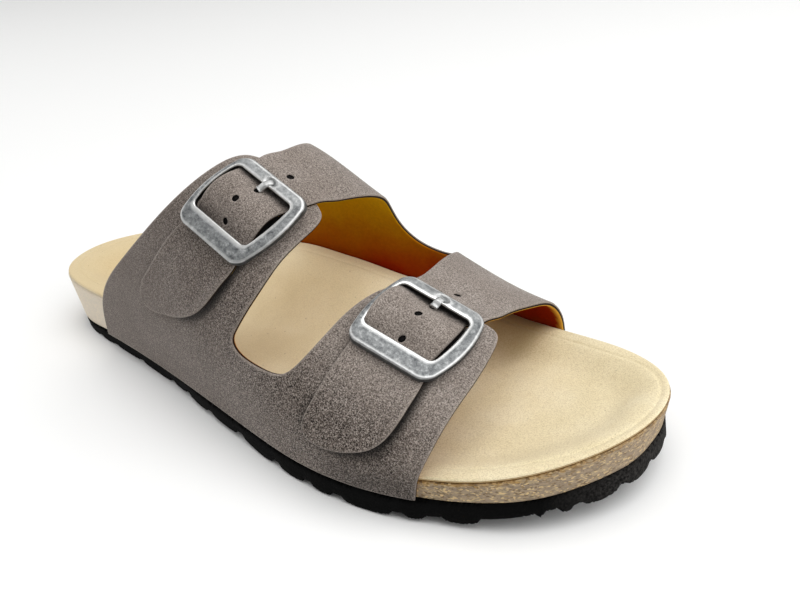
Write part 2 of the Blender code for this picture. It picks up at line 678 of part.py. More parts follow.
def prong_body(seat):
    """Short tapered prong from the strap's hole up into the high bar's notch."""
    strap_top = UPPER_THICK - STRAP_SINK + BUCKLE_GAP
    bar_top = strap_top + BAR_THICK - NOTCH_DEPTH + BUCKLE_GAP
    points, faces = [], []
    stations = np.linspace(PRONG_START, PRONG_END, PRONG_STATIONS)
    for v in stations:
        hump = STRAP_HUMP * np.cos(np.pi * v / WINDOW_LENGTH) ** 2 if v < WINDOW_LENGTH / 2 else 0.0
        floor = max(strap_top + hump, bar_top)
        t = (v - PRONG_START) / (PRONG_END - PRONG_START)
        half = PRONG_WIDTH / 2 * (1.0 - PRONG_TAPER * t)
        thick = PRONG_THICK * (1.0 - PRONG_TAPER * t)
        points += [seat.place(-half, v, floor), seat.place(half, v, floor),
                   seat.place(half, v, floor + thick * 0.55), seat.place(half * 0.5, v, floor + thick),
                   seat.place(-half * 0.5, v, floor + thick), seat.place(-half, v, floor + thick * 0.55)]
    for k in range(len(stations) - 1):
        for i in range(6):
            j = (i + 1) % 6
            faces.append((k * 6 + i, k * 6 + j, k * 6 + 6 + j, k * 6 + 6 + i))
    last = 6 * (len(stations) - 1)
    faces.append(tuple(range(6)))
    faces.append(tuple(last + i for i in range(6)))
    return np.array(points), faces


def build():
    """All pieces of the sandal, set over the middle of its footprint."""
    for thing in list(bpy.data.objects):
        bpy.data.objects.remove(thing, do_unlink=True)
    pieces = bpy.data.collections.new("sandal")
    bpy.context.scene.collection.children.link(pieces)
    tools = bpy.data.collections.new("joined_straps")
    bpy.context.scene.collection.children.link(tools)

    seats = [Seat(row) for row in BUCKLES]
    plan, faces = bed_plan()
    bodies = {
        "outsole": (outsole_body(), "outsole"),
        "footbed": (footbed_body(plan, faces), "footbed"),
        "insole": (insole_body(plan, faces), "insole"),
        "upper": (outer_panel(), "upper"),
    }
    for seat in seats:
        bodies["buckle_" + seat.name] = buckle_body(seat), "buckle"
        bodies["prong_" + seat.name] = prong_body(seat), "prong"
    straps = inner_panel(seats)

    everything = np.vstack([body[0] for body, finish in bodies.values()] + [straps[0]])
    low, high = everything.min(axis=0), everything.max(axis=0)
    middle = np.array([(low[0] + high[0]) / 2, (low[1] + high[1]) / 2, low[2]])
    for name, ((points, body_faces), finish) in bodies.items():
        make(name, points - middle, body_faces, finish, pieces)
    strap_piece = make("inner_panel_and_straps", straps[0] - middle, straps[1], "upper", tools)
    strap_piece.hide_render = True
    strap_piece.display_type = "WIRE"
    join = bpy.data.objects["upper"].modifiers.new("straps joined where they cross", "BOOLEAN")
    join.operation = "UNION"
    join.solver = "EXACT"
    join.object = strap_piece
    print("sandal middle (mm)", middle.round(3), "size", (high - low).round(2))


build()
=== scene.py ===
import math

import bmesh
import bpy
import numpy as np
from mathutils import Matrix, Vector
from mathutils.geometry import delaunay_2d_cdt
from mathutils.kdtree import KDTree


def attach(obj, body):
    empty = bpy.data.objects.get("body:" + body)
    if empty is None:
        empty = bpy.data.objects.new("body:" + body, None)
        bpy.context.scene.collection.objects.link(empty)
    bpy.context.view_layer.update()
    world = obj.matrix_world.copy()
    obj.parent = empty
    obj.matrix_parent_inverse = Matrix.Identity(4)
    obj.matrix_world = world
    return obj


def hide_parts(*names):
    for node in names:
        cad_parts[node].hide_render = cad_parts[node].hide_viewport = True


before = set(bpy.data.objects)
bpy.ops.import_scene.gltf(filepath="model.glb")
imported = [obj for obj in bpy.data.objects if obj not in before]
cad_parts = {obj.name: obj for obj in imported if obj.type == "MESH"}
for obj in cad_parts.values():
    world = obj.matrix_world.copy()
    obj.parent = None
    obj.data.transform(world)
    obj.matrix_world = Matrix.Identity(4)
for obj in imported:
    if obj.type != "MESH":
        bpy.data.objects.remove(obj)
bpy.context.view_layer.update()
scene = bpy.context.scene
print("frame loaded with", ", ".join(sorted(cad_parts)))

# Shapes are worked out in millimetres from the back of the heel: x to the toe, y to the big toe's side, z up.
# They are then set over the middle of the footprint and written in metres, which is the frame's own place.
mm = 0.001
heelToMiddle = np.array([132.571, -2.381, 0.0])


def linear(hexColour):
    parts = [int(hexColour[i:i + 2], 16) / 255 for i in (1, 3, 5)]
    return [p / 12.92 if p <= 0.04045 else ((p + 0.055) / 1.055) ** 2.4 for p in parts] + [1.0]


def perMetre(millimetres):  # texture scale for a pattern of this real size
    return 1.0 / (millimetres * mm)


def setInputs(tree, node, inputs):  # a node or a socket is linked, anything else is the input's own value
    for key, value in inputs.items():
        if isinstance(value, bpy.types.Node):
            value = next(socket for socket in value.outputs if socket.enabled)
        if isinstance(value, bpy.types.NodeSocket):
            tree.links.new(value, node.inputs[key])
        else:
            node.inputs[key].default_value = value


def addNode(tree, kind, inputs=None, ramp=None, **settings):
    node = tree.nodes.new("ShaderNode" + kind)
    if kind == "Mix":  # only colours are mixed here
        node.data_type = "RGBA"
    for key, value in settings.items():
        setattr(node, key, value)
    if ramp:
        while len(node.color_ramp.elements) < len(ramp):
            node.color_ramp.elements.new(0.5)
        for element, (place, colour) in zip(node.color_ramp.elements, ramp):
            element.position = place
            element.color = linear(colour) if isinstance(colour, str) else (colour, colour, colour, 1.0)
    setInputs(tree, node, inputs or {})
    return node


def newMaterial(name):
    material = bpy.data.materials.new(name)
    material.use_nodes = True
    tree = material.node_tree
    return material, tree, tree.nodes["Principled BSDF"]


def soft(t):  # soft step from 0 to 1
    t = np.clip(t, 0.0, 1.0)
    return t * t * (3 - 2 * t)


def rise(value, start, end):  # soft step from 0 at start to 1 at end
    return soft((value - start) / (end - start))


def roundedDrop(radius, gap):  # how far an edge rounded by radius has dropped at this gap from it
    return radius - np.sqrt(radius ** 2 - np.maximum(radius - gap, 0.0) ** 2)


def curveThrough(rows, closed, step):  # cubic curve through the rows, as points about one step apart
    points = np.array(rows, float)
    if closed:
        points = np.vstack([points, points[:1]])
    knots = np.concatenate([[0.0], np.cumsum(np.hypot(*np.diff(points, axis=0).T) ** 0.5)])
    spans = np.diff(knots)
    slopes = np.diff(points, axis=0) / spans[:, None]
    total = len(points)
    system = np.zeros((total, total))
    right = np.zeros((total, 2))
    for i in range(1, total - 1):
        system[i, i - 1:i + 2] = spans[i - 1], 2 * (spans[i - 1] + spans[i]), spans[i]
        right[i] = 6 * (slopes[i] - slopes[i - 1])
    if closed:
        system[0, 0], system[0, -1] = 1.0, -1.0
        system[-1, 0], system[-1, 1] = 2 * spans[0], spans[0]
        system[-1, -1], system[-1, -2] = 2 * spans[-1], spans[-1]
        right[-1] = 6 * (slopes[0] - slopes[-1])
    else:
        system[0, 0] = system[-1, -1] = 1.0
    bends = np.linalg.solve(system, right)
    fine = np.linspace(0.0, knots[-1], 80 * total)
    k = np.clip(np.searchsorted(knots, fine, "right") - 1, 0, total - 2)
    h = spans[k][:, None]
    a = (knots[k + 1] - fine)[:, None] / h
    b = 1.0 - a
    curve = a * points[k] + b * points[k + 1]
    curve += ((a ** 3 - a) * bends[k] + (b ** 3 - b) * bends[k + 1]) * h * h / 6
    along = np.concatenate([[0.0], np.cumsum(np.hypot(*np.diff(curve, axis=0).T))])
    count = max(3, int(round(along[-1] / step)) + 1)
    places = np.linspace(0.0, along[-1], count)
    if closed:
        places = places[:-1]
    return np.column_stack([np.interp(places, along, curve[:, c]) for c in (0, 1)])


def stationValue(rows, column, x):  # one column of a table, read smoothly between its rows
    table = np.array(rows, float)
    xs, ys = table[:, 0], table[:, column]
    x = np.clip(np.asarray(x, float), xs[0], xs[-1])
    h = np.diff(xs)
    m = np.diff(ys) / h
    slope = np.concatenate([[m[0]], np.zeros(len(xs) - 2), [m[-1]]])
    for i in range(1, len(xs) - 1):
        if m[i - 1] * m[i] > 0:
            w1, w2 = 2 * h[i] + h[i - 1], h[i] + 2 * h[i - 1]
            slope[i] = (w1 + w2) / (w1 / m[i - 1] + w2 / m[i])
    k = np.clip(np.searchsorted(xs, x, "right") - 1, 0, len(xs) - 2)
    t = (x - xs[k]) / h[k]
    return (ys[k] * (1 + 2 * t) * (1 - t) ** 2 + ys[k + 1] * t * t * (3 - 2 * t)
            + h[k] * (slope[k] * t * (1 - t) ** 2 + slope[k + 1] * t * t * (t - 1)))


def nearestOf(edge, plan):  # distance to the nearest of the edge's points, and which one it is
    tree = KDTree(len(edge))
    for i, (x, y) in enumerate(edge):
        tree.insert((x, y, 0.0), i)
    tree.balance()
    found = [tree.find((x, y, 0.0)) for x, y in plan]
    return np.array([f[2] for f in found]), np.array([f[1] for f in found])


def toLoop(plan, loop):  # exact distance from each plan point to a closed loop
    near = nearestOf(loop, plan)[1]
    best = np.full(len(plan), 1e9)
    for shift in (-1, 0):
        start = loop[(near + shift) % len(loop)]
        span = loop[(near + shift + 1) % len(loop)] - start
        t = np.clip(np.sum((plan - start) * span, axis=1) / np.sum(span * span, axis=1), 0.0, 1.0)
        best = np.minimum(best, np.hypot(*(plan - start - span * t[:, None]).T))
    return best


def insideLoop(loop, plan):
    x, y = loop[:, 0], loop[:, 1]
    xn, yn = np.roll(x, -1), np.roll(y, -1)
    inside = np.zeros(len(plan), bool)
    batch = 2000  # points at a time, to keep the tables small
    for first in range(0, len(plan), batch):
        part = plan[first:first + batch]
        crosses = (y > part[:, 1:]) != (yn > part[:, 1:])
        at = x + (part[:, 1:] - y) / np.where(yn == y, 1.0, yn - y) * (xn - x)
        inside[first:first + batch] = np.sum(crosses & (part[:, :1] < at), axis=1) % 2 == 1
    return inside


def inward(loop, inset):  # a loop drawn in by inset
    step = np.roll(loop, -1, axis=0) - np.roll(loop, 1, axis=0)
    left = np.column_stack([-step[:, 1], step[:, 0]])
    left /= np.linalg.norm(left, axis=1)[:, None]
    turn = np.sum(loop[:, 0] * np.roll(loop[:, 1], -1) - np.roll(loop[:, 0], -1) * loop[:, 1])
    return loop + left * inset * np.sign(turn)


def fillLoops(loops, inside, lines=()):  # triangles over the first loop, less the others
    points, edges = [], []
    for loop in loops:
        first = len(points)
        points += [Vector(p) for p in loop]
        edges += [(first + i, first + (i + 1) % len(loop)) for i in range(len(loop))]
    points += [Vector(p) for p in inside]
    for a, b in lines:
        edges.append((len(points), len(points) + 1))
        points += [Vector(a), Vector(b)]
    found = delaunay_2d_cdt(points, edges, [], 1, 1e-4)
    plan = np.array([(v.x, v.y) for v in found[0]])
    faces = np.array([f for f in found[2] if len(f) == 3])
    a, b, c = plan[faces[:, 0]], plan[faces[:, 1]], plan[faces[:, 2]]
    area = (b[:, 0] - a[:, 0]) * (c[:, 1] - a[:, 1]) - (b[:, 1] - a[:, 1]) * (c[:, 0] - a[:, 0])
    faces[area < 0] = faces[area < 0][:, ::-1]
    keep = (np.abs(area) > 1e-7) & insideLoop(loops[0], (a + b + c) / 3)
    for hole in loops[1:]:
        keep &= ~insideLoop(hole, (a + b + c) / 3)
    used, fresh = np.unique(faces[keep], return_inverse=True)
    return plan[used], fresh.reshape(-1, 3)


def borderEdges(faces):  # edges with a face on one side only, in their face's direction
    directed = {(f[i], f[(i + 1) % 3]) for f in faces.tolist() for i in range(3)}
    return sorted(e for e in directed if (e[1], e[0]) not in directed)


def closedSheet(faces, top, bottom, wallShares):
    # body between two matching surfaces, with rows of wall faces at these shares of the way down
    count = len(top)
    points = [top, bottom]
    body = [tuple(f) for f in faces.tolist()] + [tuple(f) for f in (faces[:, ::-1] + count).tolist()]
    kinds = [0] * len(faces) + [1] * len(faces)  # 0 top, 1 bottom, 2 and on the rows of the wall
    border = borderEdges(faces)
    rim = sorted({i for e in border for i in e})
    rows = [{i: i for i in rim}]
    total = 2 * count
    for share in wallShares:
        points.append(top[rim] * (1 - share) + bottom[rim] * share)
        rows.append({i: total + k for k, i in enumerate(rim)})
        total += len(rim)
    rows.append({i: i + count for i in rim})
    for level, (upper, lower) in enumerate(zip(rows, rows[1:])):
        for a, b in border:
            body.append((upper[b], upper[a], lower[a], lower[b]))
            kinds.append(2 + level)
    below = np.concatenate([np.zeros(count), np.ones(count)] + [np.full(len(rim), s) for s in wallShares])
    owner = np.concatenate([np.arange(count), np.arange(count)] + [np.array(rim)] * len(wallShares))
    return {"points": np.vstack(points), "faces": body, "kinds": np.array(kinds),
            "below": below, "owner": owner}


def makePiece(name, points, faces, node, materials, looks=None, marks=None):
    mesh = bpy.data.meshes.new(name)
    mesh.from_pydata(((np.asarray(points) - heelToMiddle) * mm).tolist(), [], faces)
    for material in materials:
        mesh.materials.append(material)
    if looks is not None:  # which of the materials each face has
        mesh.polygons.foreach_set("material_index", np.asarray(looks, np.int32))
    mesh.polygons.foreach_set("use_smooth", np.ones(len(faces), bool))
    for mark, values in (marks or {}).items():
        attribute = mesh.attributes.new(mark, "FLOAT", "POINT")
        attribute.data.foreach_set("value", np.asarray(values, np.float32))
    work = bmesh.new()
    work.from_mesh(mesh)
    bmesh.ops.recalc_face_normals(work, faces=work.faces[:])
    work.to_mesh(mesh)
    work.free()
    piece = bpy.data.objects.new(name, mesh)
    scene.collection.objects.link(piece)
    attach(piece, "root")
    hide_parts(node)
    print(f"{name}: {sum(len(f) - 2 for f in faces)} triangles")


# Sole: plan of the footbed's rim, walked heel, outer side, toe, inner side
sole = {
    "outline": (
        # x, y
        (0.0, -1.1), (6.3, -22.9), (40.0, -31.0), (89.8, -37.2), (140.3, -46.0), (178.3, -49.9),
        (215.0, -43.8), (239.6, -32.8), (258.2, -12.0), (265.1, 8.6), (259.7, 27.4), (237.2, 41.4),
        (208.1, 45.7), (169.9, 44.8), (120.0, 33.4), (70.0, 31.5), (31.7, 32.4), (13.4, 20.3)),
    "step": 0.45,
    "toeSpring": 8.4,
    "springStart": 185.0,
    "springRun": 80.0,
    "heelInset": 2.0,  # how far the side leans in under the rim at the heel
    "heelInsetRun": 100.0,
    "toeTuck": 1.5,  # the same at the toe's inner end
    "toeTuckAlong": (244.0, 260.0),
    "toeTuckAcross": (-8.0, 10.0),
}
rimLine = curveThrough(sole["outline"], True, sole["step"])
rimStep = np.roll(rimLine, -1, axis=0) - np.roll(rimLine, 1, axis=0)
rimOut = np.column_stack([rimStep[:, 1], -rimStep[:, 0]])
rimOut /= np.linalg.norm(rimOut, axis=1)[:, None]
heelFirst = np.roll(np.arange(len(rimLine)), -int(np.argmin(rimLine[:, 0])))
toePlace = int(np.argmax(rimLine[heelFirst, 0]))
outerRim = rimLine[heelFirst[:toePlace + 1]]
innerRim = rimLine[np.append(heelFirst[toePlace:], heelFirst[0])[::-1]]


def toeLift(x):
    ahead = np.clip(np.asarray(x, float) - sole["springStart"], 0.0, None)
    return sole["toeSpring"] * (ahead / sole["springRun"]) ** 2


def heelLean(x):
    return sole["heelInset"] * np.clip(1.0 - np.asarray(x, float) / sole["heelInsetRun"], 0.0, 1.0)


def toeTuck(plan):
    x, y = plan.T
    return sole["toeTuck"] * rise(x, *sole["toeTuckAlong"]) * rise(y, *sole["toeTuckAcross"])


def rimRing(count, out):  # points round the rim, moved out by a distance that may change along it
    pick = np.linspace(0, len(rimLine), count, endpoint=False).astype(int)
    away = out(rimLine[pick]) if callable(out) else np.full(count, float(out))
    return rimLine[pick] + rimOut[pick] * away[:, None]


def drawnIn(plan, amount, fade):  # plan points drawn in from the rim by amount there, fading to none inside
    gap, near = nearestOf(rimLine, plan)
    return plan - rimOut[near] * (np.asarray(amount) * np.clip(1.0 - gap / fade, 0.0, 1.0))[:, None]


def planGrid(loop, step, clear):  # even points inside a loop, clear of its edge
    low, high = loop.min(axis=0), loop.max(axis=0)
    rowStep = 0.87 * step  # makes the triangles even-sided
    rows = []
    for row, y in enumerate(np.arange(low[1], high[1], rowStep)):
        xs = np.arange(low[0] + (row % 2) * step / 2, high[0], step)
        rows.append(np.column_stack([xs, np.full(len(xs), y)]))
    grid = np.vstack(rows)
    return grid[insideLoop(loop, grid) & (nearestOf(loop, grid)[0] > clear)]


# Outsole: black foam rubber, with grooves between its lugs
# a Span, Start or End is where along the sole a change begins and where it is complete
outsole = {
    "height": 8.7,
    "proud": 0.6,
    "heelProud": 1.0,  # so much less at the heel
    "heelProudSpan": (30.0, 0.0),
    "flare": 1.8,  # trimmed flush with the panels, so further out along them
    "flareStart": (78.0, 118.0),
    "flareEnd": (200.0, 222.0),
    "heelThin": (5.0, 1.6),  # at the back, and where the upper starts
    "heelThinRun": 40.0,
    "heelThinEnd": (47.0, 39.0),
    "toeThin": 1.0,
    "toeThinSpan": (226.0, 248.0),
    "waistLift": 1.4,
    "waistStart": (78.0, 94.0),
    "waistEnd": (148.0, 134.0),
    "heelBevel": 1.0,
    "heelBevelSpan": (9.0, 0.0),
    "sideLean": 0.3,
    "toeLean": -0.6,
    "toeLeanSpan": (200.0, 255.0),
    "leanFade": 14.0,
    "lugDepth": 2.2,
    "lugSlope": 1.9,
    "lugRound": 0.45,  # share of the groove's depth by which a lug's end is rounded off
    "lugRoundRun": 6.0,
    "lugLines": (1.4, 3.0),  # mesh lines on the rounded end, past the slope
    "edgeRound": 0.9,
    "edgeRings": (0.25, 0.7, 2.0, 5.0),
    "wallShares": (0.33, 0.66),
    "grid": 8.0,
    "rimPoints": 560,
    "lineReach": (280.0, 70.0),  # mesh lines end here, past the toe and the sides
    "crossGrooves": (
        # x, width, share of the depth
        (26.6, 2.4, 0.5), (39.0, 2.4, 0.4), (59.5, 2.4, 0.5), (83.9, 2.6, 0.8), (97.1, 2.4, 0.8),
        (113.7, 2.6, 0.8), (133.4, 2.8, 1.0), (154.1, 2.8, 1.1), (170.0, 3.0, 1.0), (182.8, 3.0, 1.0),
        (204.5, 3.2, 1.0), (215.9, 4.4, 0.9), (236.4, 13.4, 1.15), (246.8, 2.2, 1.3)),
    "toeGrooves": (-20.6, -8.0, 4.6, 16.0, 26.5),  # y
    "toeGrooveWidth": 2.2,
    "toeGrooveStart": 250.0,
}


def soleOut(plan):  # how far the outsole stands out from the footbed's rim
    x = plan[:, 0]
    proud = outsole["proud"] - outsole["heelProud"] * rise(x, *outsole["heelProudSpan"])
    flare = outsole["flare"] * (rise(x, *outsole["flareStart"]) - rise(x, *outsole["flareEnd"]))
    return proud + flare - heelLean(x) - toeTuck(plan)


def thinned(x):  # the outsole is thinner behind the upper and at the toe
    atBack, atUpper = outsole["heelThin"]
    heel = atUpper + (atBack - atUpper) * np.clip(1.0 - x / outsole["heelThinRun"], 0.0, 1.0)
    return heel * rise(x, *outsole["heelThinEnd"]) + outsole["toeThin"] * rise(x, *outsole["toeThinSpan"])


def foamRubber():
    # EVA foam rubber, moulded: near black, dull, with a finely pitted skin, greyer at the toe end: partly
    # dust, partly painted light
    material, tree, shader = newMaterial("moulded_foam_rubber")
    place = addNode(tree, "TexCoord").outputs["Object"]
    along = addNode(tree, "SeparateXYZ", {"Vector": place}).outputs["X"]
    pits = addNode(tree, "TexNoise", {
        "Vector": place, "Scale": perMetre(0.9), "Detail": 3.0, "Roughness": 0.65})
    dust = addNode(tree, "TexVoronoi", {"Vector": place, "Scale": perMetre(2.4)})
    speck = addNode(tree, "ValToRGB", {"Fac": dust}, ramp=[
        (0.0, "#3a3a38"), (0.04, "#060606"), (1.0, "#040404")])
    tone = addNode(tree, "ValToRGB", {"Fac": pits}, ramp=[(0.35, "#010101"), (0.7, "#060606")])
    black = addNode(tree, "Mix", {0: 0.5, 6: speck, 7: tone}, blend_type="SCREEN")
    # greyer towards the toe end: partly dust, partly painted light on the end that faces the light
    dustAndLightTone = addNode(tree, "ValToRGB", {"Fac": pits}, ramp=[(0.35, "#0c0b0b"), (0.7, "#3d3b39")])
    toeDustAndLight = addNode(tree, "MapRange", {"Value": along, "From Min": 0.112, "From Max": 0.132})
    colour = addNode(tree, "Mix", {0: toeDustAndLight, 6: black, 7: dustAndLightTone})
    bump = addNode(tree, "Bump", {"Height": pits, "Strength": 0.7, "Distance": 0.35 * mm})
    setInputs(tree, shader, {
        "Base Color": colour, "Normal": bump, "Roughness": 0.75, "Specular IOR Level": 0.04})
    return material


def groove(away):  # 1 in a groove, falling over its slope and then over the lug's rounded end
    rounded = outsole["lugRound"] * np.clip(1.0 - away / outsole["lugRoundRun"], 0.0, 1.0) ** 2
    return np.maximum(soft(1.0 - away / outsole["lugSlope"]), np.where(away > 0, rounded, 1.0))


def buildOutsole():
    loop = rimRing(outsole["rimPoints"], soleOut)
    slope, (lugEnd, lugFace) = outsole["lugSlope"], outsole["lugLines"]
    toeStart, toeWidth = outsole["toeGrooveStart"], outsole["toeGrooveWidth"]
    pastToe, pastSide = outsole["lineReach"]
    lines = []
    for x, width, _ in outsole["crossGrooves"]:
        for past in (0.0, slope / 2, slope, slope + lugEnd, slope + lugFace):
            for edge in (x - width / 2 - past, x + width / 2 + past):
                lines.append(((edge, -pastSide), (edge, pastSide)))
    for y in outsole["toeGrooves"]:
        for past in (0.0, slope / 2, slope, slope + lugEnd):
            for edge in (y - toeWidth / 2 - past, y + toeWidth / 2 + past):
                lines.append(((toeStart, edge), (pastToe, edge)))
    rings = np.vstack([inward(loop, inset) for inset in outsole["edgeRings"]])
    grid = planGrid(loop, outsole["grid"], outsole["grid"])
    plan, faces = fillLoops([loop], np.vstack([rings, grid]), lines)
    x, y = plan.T
    cut = np.zeros(len(plan))
    for grooveX, width, share in outsole["crossGrooves"]:
        cut = np.maximum(cut, share * groove(np.abs(x - grooveX) - width / 2))
    atToe = soft(1.0 - (toeStart - x) / slope)
    for grooveY in outsole["toeGrooves"]:
        cut = np.maximum(cut, np.minimum(groove(np.abs(y - grooveY) - toeWidth / 2), atToe))
    drop = roundedDrop(outsole["edgeRound"], toLoop(plan, loop))
    lean = outsole["sideLean"] + (outsole["toeLean"] - outsole["sideLean"]) * rise(x, *outsole["toeLeanSpan"])
    low = drawnIn(plan, lean, outsole["leanFade"])
    bevel = outsole["heelBevel"] * rise(x, *outsole["heelBevelSpan"])
    waist = outsole["waistLift"] * rise(x, *outsole["waistStart"]) * rise(x, *outsole["waistEnd"])
    top = np.column_stack([plan, toeLift(x) + outsole["height"] - thinned(x) - drop])
    bottom = np.column_stack([low, toeLift(x) + outsole["lugDepth"] * cut + bevel + waist + drop])
    sheet = closedSheet(faces, top, bottom, outsole["wallShares"])
    makePiece("outsole_rubber", sheet["points"], sheet["faces"], "outsole",
              [foamRubber()])


buildOutsole()

# Footbed: heights of the suede at both rims and along the middle, and how far in the cup reaches
footbed = {
    "stations": (
        # x, outer rim, inner rim, middle, outer reach, inner reach
        (0, 27.2, 27.2, 17.5, 24, 24), (40, 27.0, 28.0, 15.0, 24, 26), (80, 27.0, 33.0, 17.5, 24, 32),
        (105, 26.5, 36.6, 19.5, 22, 34), (125, 25.0, 34.0, 20.3, 20, 32), (150, 22.5, 27.5, 19.6, 18, 26),
        (175, 19.0, 23.0, 16.2, 16, 18), (200, 16.9, 18.9, 13.9, 14, 15), (222, 17.6, 18.6, 14.5, 13, 14),
        (245, 18.7, 19.0, 15.0, 13, 13), (266, 19.2, 19.2, 15.4, 13, 13)),
    "border": 4.0,
    "glueGap": 0.35,
    "sideRows": 14,
    "grid": 6.0,
    "rimPoints": 700,
}


def bedHeight(plan):  # top of the suede: a flat border, then the cup, the arch and the toe hollow
    middle = stationValue(footbed["stations"], 3, plan[:, 0])
    rims, shares = [], []
    for edge, rimColumn, reachColumn in ((outerRim, 1, 4), (innerRim, 2, 5)):
        gap, near = nearestOf(edge, plan)
        rims.append(stationValue(footbed["stations"], rimColumn, edge[near, 0]))
        reach = stationValue(footbed["stations"], reachColumn, edge[near, 0])
        shares.append(soft(1.0 - (gap - footbed["border"]) / reach))
    rim = (rims[0] * shares[0] + rims[1] * shares[1]) / (shares[0] + shares[1] + 1e-9)
    share = 1.0 - (1.0 - shares[0]) * (1.0 - shares[1])
    return middle + (rim - middle) * share + toeLift(plan[:, 0])


def groundCork():
    # ground cork, pressed and sanded: grey-brown crumb with pale tan flecks lying flat, stained by glue
    # along its top edge, greyer round the toe, and painted paler towards the heel as painted light
    material, tree, shader = newMaterial("pressed_ground_cork")
    place = addNode(tree, "TexCoord").outputs["Object"]
    along = addNode(tree, "SeparateXYZ", {"Vector": place}).outputs["X"]
    flat = addNode(tree, "Mapping", {"Vector": place, "Scale": (1.0, 1.0, 2.3)})
    warp = addNode(tree, "TexNoise", {"Vector": flat, "Scale": perMetre(3.0), "Detail": 2.0}).outputs["Color"]
    bent = addNode(tree, "VectorMath", {0: warp, 1: (1.6 * mm,) * 3, 2: flat}, operation="MULTIPLY_ADD")
    crumb = addNode(tree, "TexVoronoi", {"Vector": bent, "Scale": perMetre(1.7)})
    grit = addNode(tree, "TexVoronoi", {"Vector": bent, "Scale": perMetre(0.85)})
    crumbTone = addNode(tree, "SeparateColor", {"Color": crumb.outputs["Color"]}).outputs
    gritTone = addNode(tree, "SeparateColor", {"Color": grit.outputs["Color"]}).outputs
    base = addNode(tree, "ValToRGB", {"Fac": crumbTone["Red"]}, ramp=[
        (0.0, "#897a65"), (0.35, "#978672"), (0.7, "#a29078"), (1.0, "#ad9a7c")])
    fleck = addNode(tree, "ValToRGB", {"Fac": gritTone["Green"]}, ramp=[(0.8, 0.0), (0.86, 0.8)])
    flecked = addNode(tree, "Mix", {0: fleck, 6: base, 7: linear("#dcc08e")})
    dark = addNode(tree, "ValToRGB", {"Fac": gritTone["Blue"]}, ramp=[(0.81, 0.0), (0.87, 0.75)])
    pitted = addNode(tree, "Mix", {0: dark, 6: flecked, 7: linear("#705a40")})
    below = addNode(tree, "Attribute", attribute_name="below").outputs["Fac"]
    ragged = addNode(tree, "Math", {0: crumbTone["Green"], 1: 0.22, 2: below}, operation="MULTIPLY_ADD")
    glue = addNode(tree, "ValToRGB", {"Fac": ragged}, ramp=[(0.12, 0.9), (0.28, 0.0)])
    amber = addNode(tree, "ValToRGB", {"Fac": gritTone["Red"]}, ramp=[
        (0.0, "#5e472a"), (0.35, "#8f7042"), (0.7, "#b08c56"), (1.0, "#cdb282")])
    stained = addNode(tree, "Mix", {0: glue, 6: pitted, 7: amber})
    toe = addNode(tree, "MapRange", {"Value": along, "From Min": 0.112, "From Max": 0.131, "To Max": 0.2})
    rubbed = addNode(tree, "Mix", {0: toe, 6: stained, 7: linear("#a69583")})
    # painted light: the cork is painted paler towards the heel, as if more light fell on that end
    heel = addNode(tree, "MapRange", {
        "Value": along, "From Min": -0.085, "From Max": -0.02, "To Min": 0.8, "To Max": 0.0})
    colour = addNode(tree, "Mix", {0: heel, 6: rubbed, 7: linear("#efe4d2")})
    bump = addNode(tree, "Bump", {"Height": grit, "Strength": 0.5, "Distance": 0.4 * mm})
    setInputs(tree, shader, {
        "Base Color": colour, "Normal": bump, "Roughness": 0.88, "Specular IOR Level": 0.25})
    return material


def buildCork():
    loop = rimRing(footbed["rimPoints"], 0.0)
    grid = planGrid(loop, footbed["grid"], footbed["grid"])
    plan, faces = fillLoops([loop], np.vstack([inward(loop, footbed["border"]), grid]))
    top = np.column_stack([plan, bedHeight(plan) - insole["thick"] - footbed["glueGap"]])
    low = drawnIn(plan, heelLean(plan[:, 0]) + toeTuck(plan), outsole["leanFade"])
    lowX = low[:, 0]
    bottom = np.column_stack([low, outsole["height"] - thinned(lowX) + footbed["glueGap"] + toeLift(lowX)])
    sheet = closedSheet(faces, top, bottom, np.linspace(0.0, 1.0, footbed["sideRows"])[1:-1])
    makePiece("cork_footbed", sheet["points"], sheet["faces"], "footbed", [groundCork()],
              marks={"below": sheet["below"]})


# Insole: a sheet of suede glued into the cup and over the border
insole = {
    "thick": 1.4,
    "inset": 0.35,
    "edgeRound": 0.6,
    "edgeRings": (0.2, 0.6, 1.2),
    "creaseRings": (1.8, 2.2, 2.6, 3.0, 3.5, 4.0, 4.4, 4.8, 5.2, 5.6, 6.1, 7.2, 9.0),
    "wallShares": (0.25, 0.5, 0.75),
    "rimPoints": 700,
    "grid": 2.6,
    "gridClear": 10.5,
    "creaseInset": (5.2, 2.6),  # where the border's edge was pressed in, along the sides and round the toe
    "creaseToToe": (232.0, 258.0),
    "creaseDepth": 0.34,
    "creaseWidth": 0.8,
    # the suede is in shade under the front strap, most at its inner foot, and a little just ahead of it
    "shadeFront": (210.0, 198.0),
    "shadeSlant": 0.1,
    "shadeAcross": (10.0, 48.0),
    "shadeRear": (176.0, 190.0),
    "shadeAhead": 0.15,
    "shadeAheadSpan": (232.0, 214.0),
}


